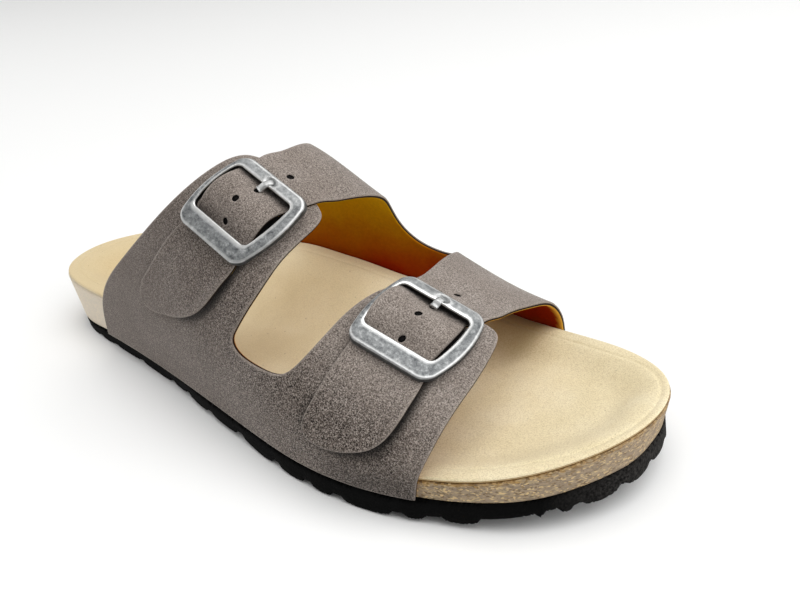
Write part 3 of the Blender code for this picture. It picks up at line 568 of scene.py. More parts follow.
def suede():
    # split suede, brushed: pale beige, no gloss, cloudy where the nap lies over, rubbed smooth at the heel,
    # grainy at the toe, with loose fibre specks, and darker where the front strap shades it
    material, tree, shader = newMaterial("brushed_suede")
    place = addNode(tree, "TexCoord").outputs["Object"]
    along = addNode(tree, "SeparateXYZ", {"Vector": place}).outputs["X"]
    cloud = addNode(tree, "TexNoise", {
        "Vector": place, "Scale": perMetre(26.0), "Detail": 4.0, "Roughness": 0.6})
    nap = addNode(tree, "TexNoise", {
        "Vector": place, "Scale": perMetre(0.45), "Detail": 1.5, "Roughness": 0.6})
    base = addNode(tree, "ValToRGB", {"Fac": cloud}, ramp=[
        (0.3, "#e8d9b2"), (0.5, "#efe1bc"), (0.7, "#f5e9c8")])
    heel = addNode(tree, "MapRange", {
        "Value": along, "From Min": -0.09, "From Max": -0.03, "To Min": 0.72, "To Max": 0.0})
    rubbed = addNode(tree, "Mix", {0: heel, 6: base, 7: linear("#d3bd93")})
    raised = addNode(tree, "MapRange", {
        "Value": along, "From Min": -0.03, "From Max": 0.08, "To Min": 0.2, "To Max": 0.5})
    fibre = addNode(tree, "ValToRGB", {"Fac": nap}, ramp=[(0.3, "#c4b8a6"), (0.6, "#ffffff")])
    napped = addNode(tree, "Mix", {0: raised, 6: rubbed, 7: fibre}, blend_type="MULTIPLY")
    dots = addNode(tree, "TexVoronoi", {"Vector": place, "Scale": perMetre(2.6)})
    pick = addNode(tree, "SeparateColor", {"Color": dots.outputs["Color"]}).outputs["Red"]
    few = addNode(tree, "Math", {0: pick, 1: 0.82}, operation="GREATER_THAN")
    small = addNode(tree, "Math", {0: dots, 1: 0.12}, operation="LESS_THAN")
    spot = addNode(tree, "Math", {0: few, 1: small}, operation="MULTIPLY")
    faint = addNode(tree, "Math", {0: spot, 1: 0.35}, operation="MULTIPLY")
    specked = addNode(tree, "Mix", {0: faint, 6: napped, 7: linear("#8c7550")})
    shade = addNode(tree, "Attribute", attribute_name="shade").outputs["Fac"]
    colour = addNode(tree, "Mix", {0: shade, 6: specked, 7: linear("#80662a")})
    bump = addNode(tree, "Bump", {"Height": nap, "Strength": 0.35, "Distance": 0.25 * mm})
    setInputs(tree, shader, {
        "Base Color": colour, "Normal": bump, "Roughness": 0.95, "Specular IOR Level": 0.15,
        "Sheen Weight": 0.15, "Sheen Roughness": 0.5})
    return material


def suedeEdge():
    # cut edge of the suede on a jute backing: pale lip, then brown threads with pale fibres between them,
    # clean at the heel
    material, tree, shader = newMaterial("cut_suede_on_jute")
    place = addNode(tree, "TexCoord").outputs["Object"]
    along = addNode(tree, "SeparateXYZ", {"Vector": place}).outputs["X"]
    below = addNode(tree, "Attribute", attribute_name="below").outputs["Fac"]
    weave = addNode(tree, "TexNoise", {
        "Vector": place, "Scale": perMetre(1.1), "Detail": 3.0, "Roughness": 0.7})
    wavy = addNode(tree, "Math", {0: weave, 1: 0.35, 2: below}, operation="MULTIPLY_ADD")
    bands = addNode(tree, "ValToRGB", {"Fac": wavy}, ramp=[
        (0.24, "#ead9b2"), (0.33, "#6b4c2b"), (0.48, "#7d5c36"), (0.58, "#d8c296"), (0.76, "#cbb07c"),
        (0.88, "#5b3f20"), (1.1, "#6e4f2b")])
    heel = addNode(tree, "MapRange", {
        "Value": along, "From Min": -0.06, "From Max": 0.0, "To Min": 0.85, "To Max": 0.0})
    colour = addNode(tree, "Mix", {0: heel, 6: bands, 7: linear("#e6d7bb")})
    bump = addNode(tree, "Bump", {"Height": weave, "Strength": 0.6, "Distance": 0.3 * mm})
    setInputs(tree, shader, {
        "Base Color": colour, "Normal": bump, "Roughness": 0.95, "Specular IOR Level": 0.15})
    return material


def buildInsole():
    loop = rimRing(insole["rimPoints"], -insole["inset"])
    rings = [inward(loop, inset) for inset in insole["edgeRings"]]
    rings += [inward(loop, inset)[::2] for inset in insole["creaseRings"]]
    plan, faces = fillLoops([loop], np.vstack(rings + [planGrid(loop, insole["grid"], insole["gridClear"])]))
    x, y = plan.T
    gap = toLoop(plan, loop)
    atSide, atToe = insole["creaseInset"]
    creaseAt = atSide + (atToe - atSide) * rise(x, *insole["creaseToToe"])
    crease = insole["creaseDepth"] * soft(1.0 - np.abs(gap - creaseAt) / insole["creaseWidth"])
    height = bedHeight(plan)
    top = np.column_stack([plan, height - roundedDrop(insole["edgeRound"], gap) - crease])
    bottom = np.column_stack([plan, height - insole["thick"]])
    sheet = closedSheet(faces, top, bottom, insole["wallShares"])
    near, far = insole["shadeAcross"]
    under = rise(x - insole["shadeSlant"] * y, *insole["shadeFront"])
    under = under * np.clip((y - near) / (far - near), 0.0, 1.0)
    ahead = insole["shadeAhead"] * rise(x, *insole["shadeAheadSpan"])
    shade = np.maximum(under, ahead) * rise(x, *insole["shadeRear"])
    makePiece("suede_insole", sheet["points"], sheet["faces"], "insole",
              [suede(), suedeEdge()], sheet["kinds"] >= 2,
              {"below": sheet["below"], "shade": shade[sheet["owner"]]})


buildCork()
buildInsole()

# Upper: sections of the last, which give its outer face, and the pattern edges laid on them
last = {
    "sections": (
        # x, outer rim, inner rim, crest y, crest z, inner fullness
        (40, 27.0, 28.0, 2.0, 104.0, 2.40), (80, 27.0, 33.0, 3.0, 102.0, 2.40),
        (105, 26.5, 36.6, 4.0, 97.5, 2.40), (125, 25.0, 34.0, 5.6, 91.4, 2.37),
        (150, 22.5, 27.5, 2.1, 76.2, 2.31), (175, 19.0, 23.0, 1.5, 59.3, 2.03),
        (200, 16.9, 21.0, 0.4, 49.2, 1.85), (222, 17.6, 20.5, 1.4, 42.6, 1.98)),
    "outerFullness": 2.0,
    "proud": 2.15,
    "from": 36.0,
    "to": 226.0,
    "step": 0.5,
    "samples": 900,
    "arcSamples": 90,
    "normalStep": 0.8,
}


def lastTable():
    xs = np.arange(last["from"], last["to"], last["step"])
    turn = np.linspace(0.0, np.pi / 2, last["arcSamples"])
    girths, ys, zs = [], [], []
    for x in xs:
        outerZ, innerZ, crestY, crestZ, fullness = (
            float(stationValue(last["sections"], column, x)) for column in range(1, 6))
        outer = np.interp(x, outerRim[:, 0], outerRim[:, 1]) - last["proud"]
        inner = np.interp(x, innerRim[:, 0], innerRim[:, 1]) + last["proud"]
        arcs = []
        for footY, footZ, bow in ((outer, outerZ, 2 / last["outerFullness"]), (inner, innerZ, 2 / fullness)):
            arcs.append(np.column_stack([crestY + (footY - crestY) * np.cos(turn) ** bow,
                                         footZ + (crestZ - footZ) * np.sin(turn) ** bow]))
        path = np.vstack([(outer, outsole["height"]), arcs[0], arcs[1][::-1][1:], (inner, outsole["height"])])
        far = np.concatenate([[0.0], np.cumsum(np.hypot(*np.diff(path, axis=0).T))])
        even = np.linspace(0.0, far[-1], last["samples"])
        girths.append(far[-1])
        ys.append(np.interp(even, far, path[:, 0]))
        zs.append(np.interp(even, far, path[:, 1]))
    return xs, np.array(girths), np.array(ys), np.array(zs)


lastX, lastGirth, lastY, lastZ = lastTable()


def girth(x):
    return np.interp(x, lastX, lastGirth)


def skin(places):  # points of the upper's outer face, from place along the last and way up its outer side
    places = np.atleast_2d(np.asarray(places, float))
    x, up = places[:, 0], places[:, 1]
    at = np.clip((x - last["from"]) / last["step"], 0, len(lastX) - 1.001)
    first = at.astype(int)
    share = at - first
    y, z = np.zeros(len(x)), np.zeros(len(x))
    for row, weight in ((first, 1 - share), (first + 1, share)):
        s = np.clip(up / lastGirth[row], 0.0, 1.0) * (last["samples"] - 1)
        j = np.minimum(s.astype(int), last["samples"] - 2)
        t = s - j
        y += weight * (lastY[row, j] * (1 - t) + lastY[row, j + 1] * t)
        z += weight * (lastZ[row, j] * (1 - t) + lastZ[row, j + 1] * t)
    return np.column_stack([x, y, z])


def skinNormal(places):
    places = np.atleast_2d(np.asarray(places, float))
    step = last["normalStep"]
    forward = skin(places + (step, 0)) - skin(places - (step, 0))
    upward = skin(places + (0, step)) - skin(np.maximum(places - (0, step), (-1e9, 0)))
    normal = np.cross(forward, upward)
    return normal / np.linalg.norm(normal, axis=1)[:, None]


upper = {
    "thick": 1.8,
    "sink": 0.3,
    "ramp": 9.0,
    "edgeRound": 0.42,
    "edgeStep": 0.95,
    "edgeRings": (0.14, 0.42, 0.95),
    "edgeClear": 1.8,
    "grid": 1.9,
    "faceShare": 0.24,  # share of the cut edge that is the face's, over the lining's
    # bulge through the buckle, and its share at the front edge
    "hump": {"rear": (5.0, 0.36), "front": (4.6, 0.06)},
    "humpSteep": (0.8, 1.2),  # fuller over the rear side bar, and how much steeper from the middle on
    "windowClear": 1.5,
    "overSide": 1.8,  # how far a strap lies over the rear side bar
    "overEnds": 0.9,  # a strap widens so fast past the window's ends
    "holeSize": 2.15,
    "holePoints": 20,
    "holeClear": 1.6,
    "plugDepth": 0.8,
    "plugThick": 0.4,
    "plugOver": 1.12,
    "tipLift": (0.5, 1.3),  # strap ends stand a little off the tabs under them, more at their front edge
    "tipAcross": (-6.0, 8.0),
    "tipStart": 8.0,  # past the low bar
    "tipRun": 4.5,
    "tipZone": (26.0, -45.0, 25.0),  # across, along and out from the frame
    # shade beside the strap ends, as in the photo: reach and depth at the rear edge, what the front edge adds
    "shadeReach": (1.0, 2.4),
    "shadeDepth": (0.5, 0.4),
    "shadeAcross": (-8.0, 6.0),
    "shadeStart": 3.0,  # past the window
    "shadeBelow": {"rear": 0.5, "front": 3.2},  # how much further it reaches below a strap end
    "shadeBelowSpan": (-30.0, -40.0),
    "shadeZone": (30.0, -56.0, 25.0),
    "shadeRings": (0.5, -0.3, -1.1, -2.0, -3.2, -4.6),
    "ringTop": 2.0,  # these mesh rings stop so far below a tab's top
    "ringClear": 1.0,
    "windowShade": (-0.6, 0.9),  # inside the window's edge
    "windowShadeTop": 1.0,  # it ends so far below the window's high edge
    "barShade": 0.9,  # where a strap dips under the high bar
    "barShadeOver": 0.5,  # past the window's sides
    "barShadeSpan": (-2.6, -0.8, -1.0, -2.5),  # from the window's high edge, then from the bar's top
    "rimLine": (0.84, 0.14),  # paler line along the cut edges, by the gap from them
    "edgeHighlight": (2.4, 0.4),  # painted highlight: a gold line along the lining's front edge, by the gap from it
    "edgeHighlightAlong": (196.0, 206.0),
    "crest": (0.45, 0.95),  # painted light: paler where the face turns up
    # the outer panel is painted paler towards its front edge, as painted light, and darker at its foot there,
    # as painted shade: amount, along x, up z
    "paintedFrontLight": (0.5, (202.0, 211.0), (12.0, 24.0)),
    "footShade": (0.38, (170.0, 190.0), (26.0, 12.0)),
    "outerRear": (
        # x, up
        (41.2, 0.0), (44.0, 14.7), (54.0, 30.0), (71.0, 45.6), (90.0, 63.4), (104.0, 79.5),
        (111.4, 90.2), (114.8, 95.3), (118.8, 98.8), (123.6, 99.8)),
    "outerCutout": (
        # x, up
        (147.0, 92.0), (150.4, 88.4), (151.2, 80.0), (148.6, 66.0), (145.7, 54.1), (139.6, 40.3),
        (137.9, 35.2), (141.0, 32.2), (150.5, 30.8), (160.2, 31.4), (165.2, 34.8), (170.4, 45.3),
        (173.3, 57.0), (176.0, 67.0), (179.2, 73.6), (182.6, 76.9)),
    "outerFront": (
        # x, up
        (209.7, 69.8), (213.8, 67.0), (216.4, 60.4), (217.9, 47.7), (217.5, 36.4), (215.0, 18.6),
        (212.4, 9.1), (211.1, 0.0)),
    "innerRear": (
        # x, up the inner side
        (72.0, 0.0), (74.0, 14.0), (82.0, 29.0), (94.0, 44.0), (107.0, 59.0), (118.0, 73.0), (125.0, 86.0)),
    "innerCutout": (
        # x, up the inner side
        (151.0, 74.0), (149.4, 62.0), (147.2, 52.0), (148.4, 43.0), (153.0, 37.0), (161.0, 33.6),
        (169.0, 34.6), (175.0, 42.0), (178.6, 52.0), (181.0, 62.0)),
    "innerFront": (
        # x, up the inner side
        (211.2, 54.0), (212.6, 43.0), (212.2, 28.0), (212.4, 18.0), (213.4, 9.0), (214.5, 0.0)),
    "rearStrap": (
        # x, up
        (126.0, 108.0), (123.8, 98.4), (121.9, 90.3), (118.5, 82.0), (114.2, 74.5), (107.5, 67.4),
        (100.0, 57.9), (89.4, 44.8), (83.8, 37.6), (83.2, 32.5), (87.6, 30.2), (98.1, 31.4), (111.9, 35.4),
        (119.4, 38.9), (125.7, 44.0), (133.5, 55.3), (136.7, 65.0), (139.7, 74.0), (142.2, 82.0),
        (145.2, 88.0), (147.4, 94.0), (149.6, 101.2)),
    "frontStrap": (
        # x, up
        (182.6, 83.0), (181.0, 70.0), (179.8, 60.0), (179.8, 52.0), (179.4, 46.4), (177.9, 37.0),
        (175.1, 26.1), (173.2, 19.6), (174.2, 16.2), (178.0, 14.3), (185.0, 14.2), (193.0, 15.8),
        (198.2, 17.9), (202.0, 21.6), (204.5, 27.9), (205.4, 36.0), (205.3, 44.0), (206.0, 53.0),
        (206.9, 62.0), (208.2, 68.0), (209.8, 75.0)),
    "strapHoles": (
        # x, up
        (128.7, 79.8), (126.7, 72.8), (135.7, 96.5), (131.7, 85.7),
        (193.2, 61.1), (192.9, 52.9), (195.3, 80.5), (193.9, 68.7)),
    "betweenStraps": 166.0,
}

# Buckles: both alike, each on a seat fitted to the strap under it
buckle = {
    "seats": (
        # name, window x, window up, low x, low up, high x, high up
        ("rear", 129.0, 78.6, 123.2, 63.6, 133.4, 92.0),
        ("front", 193.6, 58.8, 191.4, 43.6, 195.6, 72.4)),
    "lies": {
        # how a frame lies on its seat: turn in degrees, lean of its sides, shift across, shift along
        "rear": (3.5, 0.131, 1.45, 0.4),
        "front": (7.0, 0.081, 0.75, 0.5)},
    "seatHalf": 16.5,
    "seatReach": 16.75,
    "seatSpots": (20.0, 22.0, 2.0),  # it is fitted to places this far along and up, at this step
    "zone": (22.0, 18.0, 12.0),  # a frame touches a strap within this across, along and out from its middle
    "half": 14.5,  # half width at the ends; the sides bow out between them
    "bow": (2.2, 3.5),  # rear side, front side
    "low": -16.4,
    "high": 15.4,
    "windowHalf": 12.9,
    "windowShift": -0.8,  # the front side bar is the broader one
    "windowBow": (1.0, 1.0),
    "windowLow": -9.3,
    "windowHigh": 10.9,
    "thick": 2.2,
    "stand": 1.05,  # side bars over the tab
    "strapStand": 1.8,  # end bars over the strap
    "flatten": 0.5,  # share of the seat's arch that the frame does not follow
    "outerCorner": 3.4,
    "innerCorner": 1.9,
    "sidePoints": 26,
    "cornerPoints": 12,
    "outerRound": 0.55,
    "innerRound": 0.6,
    "dome": 0.15,
    "domeShares": (0.12, 0.26, 0.38, 0.5, 0.62, 0.74),
    "boss": (0.1, 12.9),  # raised oval that takes the prong
    "bossSize": (2.7, 1.75),
    "bossRise": 0.25,
    "bossDip": 0.75,
    "bossRim": 0.3,  # width of its raised rim, as a share of its size
    "bossHollow": (0.85, 0.5),
    "bossFrom": 0.6,  # share of the frame's thickness that it starts at
    "bossShine": (0.35, 0.25),  # on the rim, and that line's width
    "barPaintedLight": 0.12,  # painted light: the high bar is painted a little brighter where it faces the light
    "barPaintedLightRun": 2.0,
    "outerLook": (0.1, 0.45, 0.65),  # shine on the wall, what the rounded edge adds, dark of patina and painted shade on the wall
    "innerLook": (0.3, 0.35, 0.55, 0.9),  # the same, with the shine at the foot of the rounded edge second
    "wallRow": 0.15,  # the dark of patina and painted shade ends so far below the outer rounded edge
}


def bowed(path, low, high, bow):  # the long sides bowed out between their ends
    middle, reach, half = (low + high) / 2, (high - low) / 2, np.abs(path[:, 0]).max()
    out = np.where(path[:, 0] < 0, bow[0], bow[1]) * (1 - ((path[:, 1] - middle) / reach) ** 2)
    return np.column_stack([path[:, 0] * (1 + out / half), path[:, 1]])


def windowEdge(b):  # half width of the window at b along the frame
    middle = (buckle["windowLow"] + buckle["windowHigh"]) / 2
    reach = (buckle["windowHigh"] - buckle["windowLow"]) / 2
    past = np.minimum(np.abs((b - middle) / reach), 1.0)
    return buckle["windowHalf"] + buckle["windowBow"][0] * (1 - past ** 2)


class BuckleSeat:
    def __init__(self, row):
        self.name, x, up, lowX, lowUp, highX, highUp = row
        turn, self.lean, self.shiftU, self.shiftV = buckle["lies"][self.name]
        self.c, self.s = math.cos(math.radians(turn)), math.sin(math.radians(turn))
        middle = np.array([x, up])
        self.origin = skin(middle)[0]
        along = skin((highX, highUp))[0] - skin((lowX, lowUp))[0]
        self.along = along / np.linalg.norm(along)
        outward = skinNormal(middle)[0]
        outward = outward - self.along * np.dot(outward, self.along)
        self.outward = outward / np.linalg.norm(outward)
        self.across = np.cross(self.along, self.outward)
        reachX, reachUp, step = buckle["seatSpots"]
        spots = np.array([(sx, su) for sx in np.arange(x - reachX, x + reachX + step / 2, step)
                          for su in np.arange(up - reachUp, up + reachUp + step / 2, step)])
        spots = self.local(skin(spots))
        spots = spots[np.all(np.abs(spots[:, :2]) < (buckle["seatHalf"], buckle["seatReach"]), axis=1)]
        terms = np.column_stack([np.ones(len(spots)), spots[:, 0], spots[:, 1], spots[:, 1] ** 2])
        self.form = np.linalg.lstsq(terms, spots[:, 2], rcond=None)[0]
        self.form[0] += float(np.max(spots[:, 2] - terms @ self.form))

    def local(self, points):  # across, along and outward distances from the window's middle
        away = np.asarray(points) - self.origin
        return np.column_stack([away @ self.across, away @ self.along, away @ self.outward])

    def place(self, u, v, h):  # point at u across and v along, h out from the arched seat
        base = self.form[0] + self.form[1] * u + self.form[2] * v + self.form[3] * v * v
        return (self.origin + np.outer(u, self.across) + np.outer(v, self.along)
                + np.outer(base + h, self.outward))

    def toFrame(self, u, v):  # a seat's place, across and along the frame as it lies
        along = v - self.shiftV
        across = u - self.shiftU - self.lean * along
        return across * self.c + along * self.s, along * self.c - across * self.s

    def fromFrame(self, a, b):
        along = a * self.s + b * self.c
        return a * self.c - b * self.s + self.shiftU + self.lean * along, along + self.shiftV

    def frameRise(self, v):  # how far the frame's face stands over its seat
        return buckle["stand"] - buckle["flatten"] * self.form[3] * v * v


seats = [BuckleSeat(row) for row in buckle["seats"]]


def overSeats(plan):  # each seat, with how far plan's places lie across, along and out from its frame
    points = skin(plan)
    for seat in seats:
        u, v, h = seat.local(points).T
        a, b = seat.toFrame(u, v)
        yield seat, a, b, np.abs(h)


def onFoot(rows):  # rows at height 0 stand a glue gap above the outsole
    return [(x, up if up else float(toeLift(x)) + footbed["glueGap"]) for x, up in rows]


def fromInner(rows):  # rows measured up the inner side, as distances from the outer foot
    return [(x, float(girth(x)) - up) for x, up in onFoot(rows)]


def footLine(start, end, inner):
    xs = np.linspace(start, end, int(abs(end - start) / upper["edgeStep"]) + 1)
    up = toeLift(xs) + footbed["glueGap"]
    return np.column_stack([xs, girth(xs) - up if inner else up])


def joinedLoop(*edges):  # closed loop from edges, straight where they do not touch
    loop = []
    for edge, following in zip(edges, edges[1:] + edges[:1]):
        loop += [tuple(p) for p in edge]
        span = np.hypot(*(np.array(following[0]) - np.array(edge[-1])))
        for t in np.linspace(0.0, 1.0, int(span / upper["edgeStep"]) + 1)[1:-1]:
            loop.append(tuple((1 - t) * np.array(edge[-1]) + t * np.array(following[0])))
    apart = 0.3  # points closer than this are one
    tidy = [loop[0]]
    for p in loop[1:]:
        if min(np.hypot(p[0] - q[0], p[1] - q[1]) for q in (tidy[-1], tidy[0])) > apart:
            tidy.append(p)
    return np.array(tidy)


def tabTop(x):  # top edge of the outer panel's tabs under the straps
    rows = np.where(x < upper["betweenStraps"], 0, 1)
    starts = np.array([upper["outerRear"][-1], upper["outerCutout"][-1]])[rows]
    ends = np.array([upper["outerCutout"][0], upper["outerFront"][0]])[rows]
    return starts[:, 1] + (x - starts[:, 0]) * (ends[:, 1] - starts[:, 1]) / (ends[:, 0] - starts[:, 0])


def strapLift(plan):  # how far the inner panel stands off: up over a tab, and humped in a buckle's window
    lift = (upper["thick"] - upper["sink"]) * soft(1.0 - (plan[:, 1] - tabTop(plan[:, 0])) / upper["ramp"])
    zoneA, _, zoneH = buckle["zone"]
    half = buckle["windowHalf"]
    for seat, a, b, h in overSeats(plan):
        share = (b - buckle["windowLow"]) / (buckle["windowHigh"] - buckle["windowLow"])
        inWindow = (share > 0) & (share < 1) & (np.abs(a) < zoneA) & (h < zoneH)
        hump, atFront = upper["hump"][seat.name]
        toFront = np.clip(a / half, 0.0, 1.0)
        steep = upper["humpSteep"][0] + upper["humpSteep"][1] * rise(a, -half, 0.0)
        bulge = np.sin(np.pi * np.clip(share, 0.0, 1.0)) ** steep * (1.0 - (1.0 - atFront) * toFront ** 2)
        lift += np.where(inWindow, hump * bulge, 0.0)
    return lift


def tipLift(plan):  # how far a strap's free end stands off at its edge
    lift = np.zeros(len(plan))
    atRear, atFront = upper["tipLift"]
    zoneA, zoneB, zoneH = upper["tipZone"]
    for _, a, b, h in overSeats(plan):
        edge = atRear + (atFront - atRear) * rise(a, *upper["tipAcross"])
        edge = edge * rise(b, buckle["low"], buckle["low"] - upper["tipStart"])
        lift = np.where((np.abs(a) < zoneA) & (b > zoneB) & (h < zoneH), np.maximum(lift, edge), lift)
    return lift


def clearOfFrames(loop):  # a strap's edges drawn in where they would touch a buckle's sides
    moved = loop.copy()
    zoneA, zoneB, zoneH = buckle["zone"]
    for _, a, b, h in overSeats(loop):
        a = a - buckle["windowShift"]
        past = np.maximum(np.maximum(buckle["windowLow"] - b, b - buckle["windowHigh"]), 0.0)
        limit = windowEdge(b) + np.where(a < 0, upper["overSide"], -upper["windowClear"])
        limit = limit + upper["overEnds"] * past
        near = (np.abs(b) < zoneB) & (np.abs(a) < zoneA) & (h < zoneH)
        moved[:, 0] -= np.sign(a) * np.where(near, np.maximum(np.abs(a) - limit, 0.0), 0.0)
    return moved


def nubuck():
    # microfibre with a brushed nubuck face: taupe, matt, a fine pebble grain whose hollows read darker,
    # painted paler and smoother where it faces up and towards the outer panel's front edge, as painted light,
    # and a soft sheen at grazing light; the grain is drawn a little coarse, so that it shows at this size;
    # painted near black as painted shade under the buckles, where a strap dips under a bar, beside the strap
    # ends and low on the outer panel
    material, tree, shader = newMaterial("brushed_nubuck_microfibre")
    place = addNode(tree, "TexCoord").outputs["Object"]
    along = addNode(tree, "SeparateXYZ", {"Vector": place}).outputs["X"]
    pebble = addNode(tree, "TexNoise", {
        "Vector": place, "Scale": perMetre(0.42), "Detail": 1.0, "Roughness": 0.5, "Distortion": 0.8})
    cloud = addNode(tree, "TexNoise", {"Vector": place, "Scale": perMetre(18.0), "Detail": 3.0})
    tone = addNode(tree, "ValToRGB", {"Fac": pebble}, ramp=[
        (0.36, "#120e0b"), (0.45, "#4f4741"), (0.54, "#6b615a"), (0.64, "#a69c94")])
    worn = addNode(tree, "MapRange", {
        "Value": along, "From Min": -0.06, "From Max": 0.03, "To Min": 0.55, "To Max": 0.0})
    smooth = addNode(tree, "Mix", {0: worn, 6: tone, 7: linear("#69605a")})
    crest = addNode(tree, "Attribute", attribute_name="crest").outputs["Fac"]
    # painted light: a paler copy of the grain, mixed in where the face turns up
    nap = addNode(tree, "ValToRGB", {"Fac": pebble}, ramp=[
        (0.34, "#6d645d"), (0.45, "#90867e"), (0.54, "#9f958d"), (0.66, "#b5aba3")])
    paintedLightShare = addNode(tree, "MapRange", {"Value": crest, "To Max": 0.8})
    litLook = addNode(tree, "Mix", {0: paintedLightShare, 6: smooth, 7: nap})
    drift = addNode(tree, "ValToRGB", {"Fac": cloud}, ramp=[(0.3, "#e4e0dd"), (0.7, "#ffffff")])
    cloudy = addNode(tree, "Mix", {0: 0.8, 6: litLook, 7: drift}, blend_type="MULTIPLY")
    rim = addNode(tree, "Attribute", attribute_name="rim").outputs["Fac"]
    line = addNode(tree, "MapRange", {"Value": rim, "To Max": 0.38})
    edged = addNode(tree, "Mix", {0: line, 6: cloudy, 7: linear("#a1978e")})
    shaded = addNode(tree, "Attribute", attribute_name="shaded").outputs["Fac"]
    colour = addNode(tree, "Mix", {0: shaded, 6: edged, 7: linear("#080707")})
    bump = addNode(tree, "Bump", {"Height": pebble, "Strength": 0.7, "Distance": 0.35 * mm})
    setInputs(tree, shader, {
        "Base Color": colour, "Normal": bump, "Roughness": 0.86, "Specular IOR Level": 0.2,
        "Sheen Weight": 0.5, "Sheen Roughness": 0.4, "Sheen Tint": linear("#d8d0ca")})
    return material


def lining():
    # ochre microfibre lining, smooth and matt, with a faint felted nap; painted darker and redder low down as
    # painted shade, a gold line along its front edge as a painted highlight, and painted dark under the strap
    # ends as painted shade
    material, tree, shader = newMaterial("ochre_microfibre_lining")
    place = addNode(tree, "TexCoord").outputs["Object"]
    high = addNode(tree, "SeparateXYZ", {"Vector": place}).outputs["Z"]
    felt = addNode(tree, "TexNoise", {"Vector": place, "Scale": perMetre(1.2), "Detail": 3.0})
    cloud = addNode(tree, "TexNoise", {"Vector": place, "Scale": perMetre(14.0), "Detail": 2.0})
    # painted shade: the lining is painted darker and redder low down
    level = addNode(tree, "MapRange", {"Value": high, "From Min": 0.03, "From Max": 0.085})
    patchy = addNode(tree, "Math", {0: cloud, 1: 0.2, 2: level}, operation="MULTIPLY_ADD")
    tone = addNode(tree, "ValToRGB", {"Fac": patchy}, ramp=[
        (0.1, "#922300"), (0.35, "#a66200"), (0.65, "#c49500"), (1.0, "#dcae00")])
    nap = addNode(tree, "ValToRGB", {"Fac": felt}, ramp=[(0.3, "#dddddd"), (0.7, "#ffffff")])
    napped = addNode(tree, "Mix", {0: 0.6, 6: tone, 7: nap}, blend_type="MULTIPLY")
    # painted highlight: a gold line along the lining's front edge
    edgeHighlight = addNode(tree, "Attribute", attribute_name="edgeHighlight").outputs["Fac"]
    rubbed = addNode(tree, "Mix", {0: edgeHighlight, 6: napped, 7: linear("#dba33c")})
    # painted shade: the lining is painted dark under the lifted strap ends
    tip = addNode(tree, "Attribute", attribute_name="tip").outputs["Fac"]
    colour = addNode(tree, "Mix", {0: tip, 6: rubbed, 7: linear("#1c130c")})
    setInputs(tree, shader, {"Base Color": colour, "Roughness": 0.85, "Specular IOR Level": 0.06})
    return material


def cutEdge(name, dark, pale):
    # edge of the microfibre as the knife or the punch left it: a thin fibrous line; the lining's edge and the
    # hole walls are deepened to near black as painted shade
    material, tree, shader = newMaterial(name)
    place = addNode(tree, "TexCoord").outputs["Object"]
    fibre = addNode(tree, "TexNoise", {"Vector": place, "Scale": perMetre(0.7), "Detail": 2.0})
    tone = addNode(tree, "ValToRGB", {"Fac": fibre}, ramp=[(0.35, dark), (0.65, pale)])
    setInputs(tree, shader, {"Base Color": tone, "Roughness": 0.9, "Specular IOR Level": 0.2})
    return material


# the lining's cut edge is near black: its dark edge colour deepened as painted shade in the crevice under the
# strap edges
upperMaterials = [
    nubuck(), lining(), cutEdge("cut_edge_of_face", "#7d736b", "#988d84"),
    cutEdge("cut_lining_edge_in_painted_shade", "#170f0a", "#2b1d13"), cutEdge("hole_wall_in_painted_shade", "#070606", "#0e0c0b")]
liningEdge, holeShade = 3, 4  # places in that list


def roundHole(place):  # a hole through the strap, round on the foot's surface
    turn = np.linspace(0.0, 2 * np.pi, upper["holePoints"], endpoint=False)
    return np.array(place) + upper["holeSize"] / 2 * np.column_stack([np.cos(turn), np.sin(turn)])


def holeShadeDiscs(holes, first):  # dark discs that close the holes part way down: painted shade for the dark depth of the holes
    points, faces = [], []
    for hole in holes:
        middle = hole.mean(axis=0)
        ring = middle + (hole - middle) * upper["plugOver"]
        off = strapLift(ring)
        for depth in (upper["plugDepth"], upper["plugDepth"] + upper["plugThick"]):
            points.append(skin(ring) + skinNormal(ring) * (off - depth)[:, None])
        count, start = len(ring), first + sum(len(p) for p in points[:-2])
        faces.append(tuple(start + i for i in range(count)))
        faces.append(tuple(start + count + i for i in reversed(range(count))))
        faces += [(start + (i + 1) % count, start + i, start + count + i, start + count + (i + 1) % count)
                  for i in range(count)]
    return points, faces


def underFrame(plan):  # shade on the outer panel where it shows through a buckle's window
    shaded = np.zeros(len(plan))
    for _, a, b, h in overSeats(plan):
        ends = np.minimum(b - buckle["windowLow"], buckle["windowHigh"] - upper["windowShadeTop"] - b)
        inset = np.minimum(ends, windowEdge(b) - np.abs(a - buckle["windowShift"]))
        here = np.where(h < buckle["zone"][2], rise(inset, *upper["windowShade"]), 0.0)
        shaded = np.maximum(shaded, here)
    return shaded


def underBar(plan):  # painted shade on a strap's face where it dips under the high bar
    shaded = np.zeros(len(plan))
    start, full, gone, fading = upper["barShadeSpan"]
    windowHigh, high = buckle["windowHigh"], buckle["high"]
    for _, a, b, h in overSeats(plan):
        dip = rise(b, windowHigh + start, windowHigh + full) * rise(b, high + gone, high + fading)
        inWindow = np.abs(a - buckle["windowShift"]) < windowEdge(b) + upper["barShadeOver"]
        over = inWindow & (h < buckle["zone"][2])
        shaded = np.maximum(shaded, np.where(over, upper["barShade"] * dip, 0.0))
    return shaded


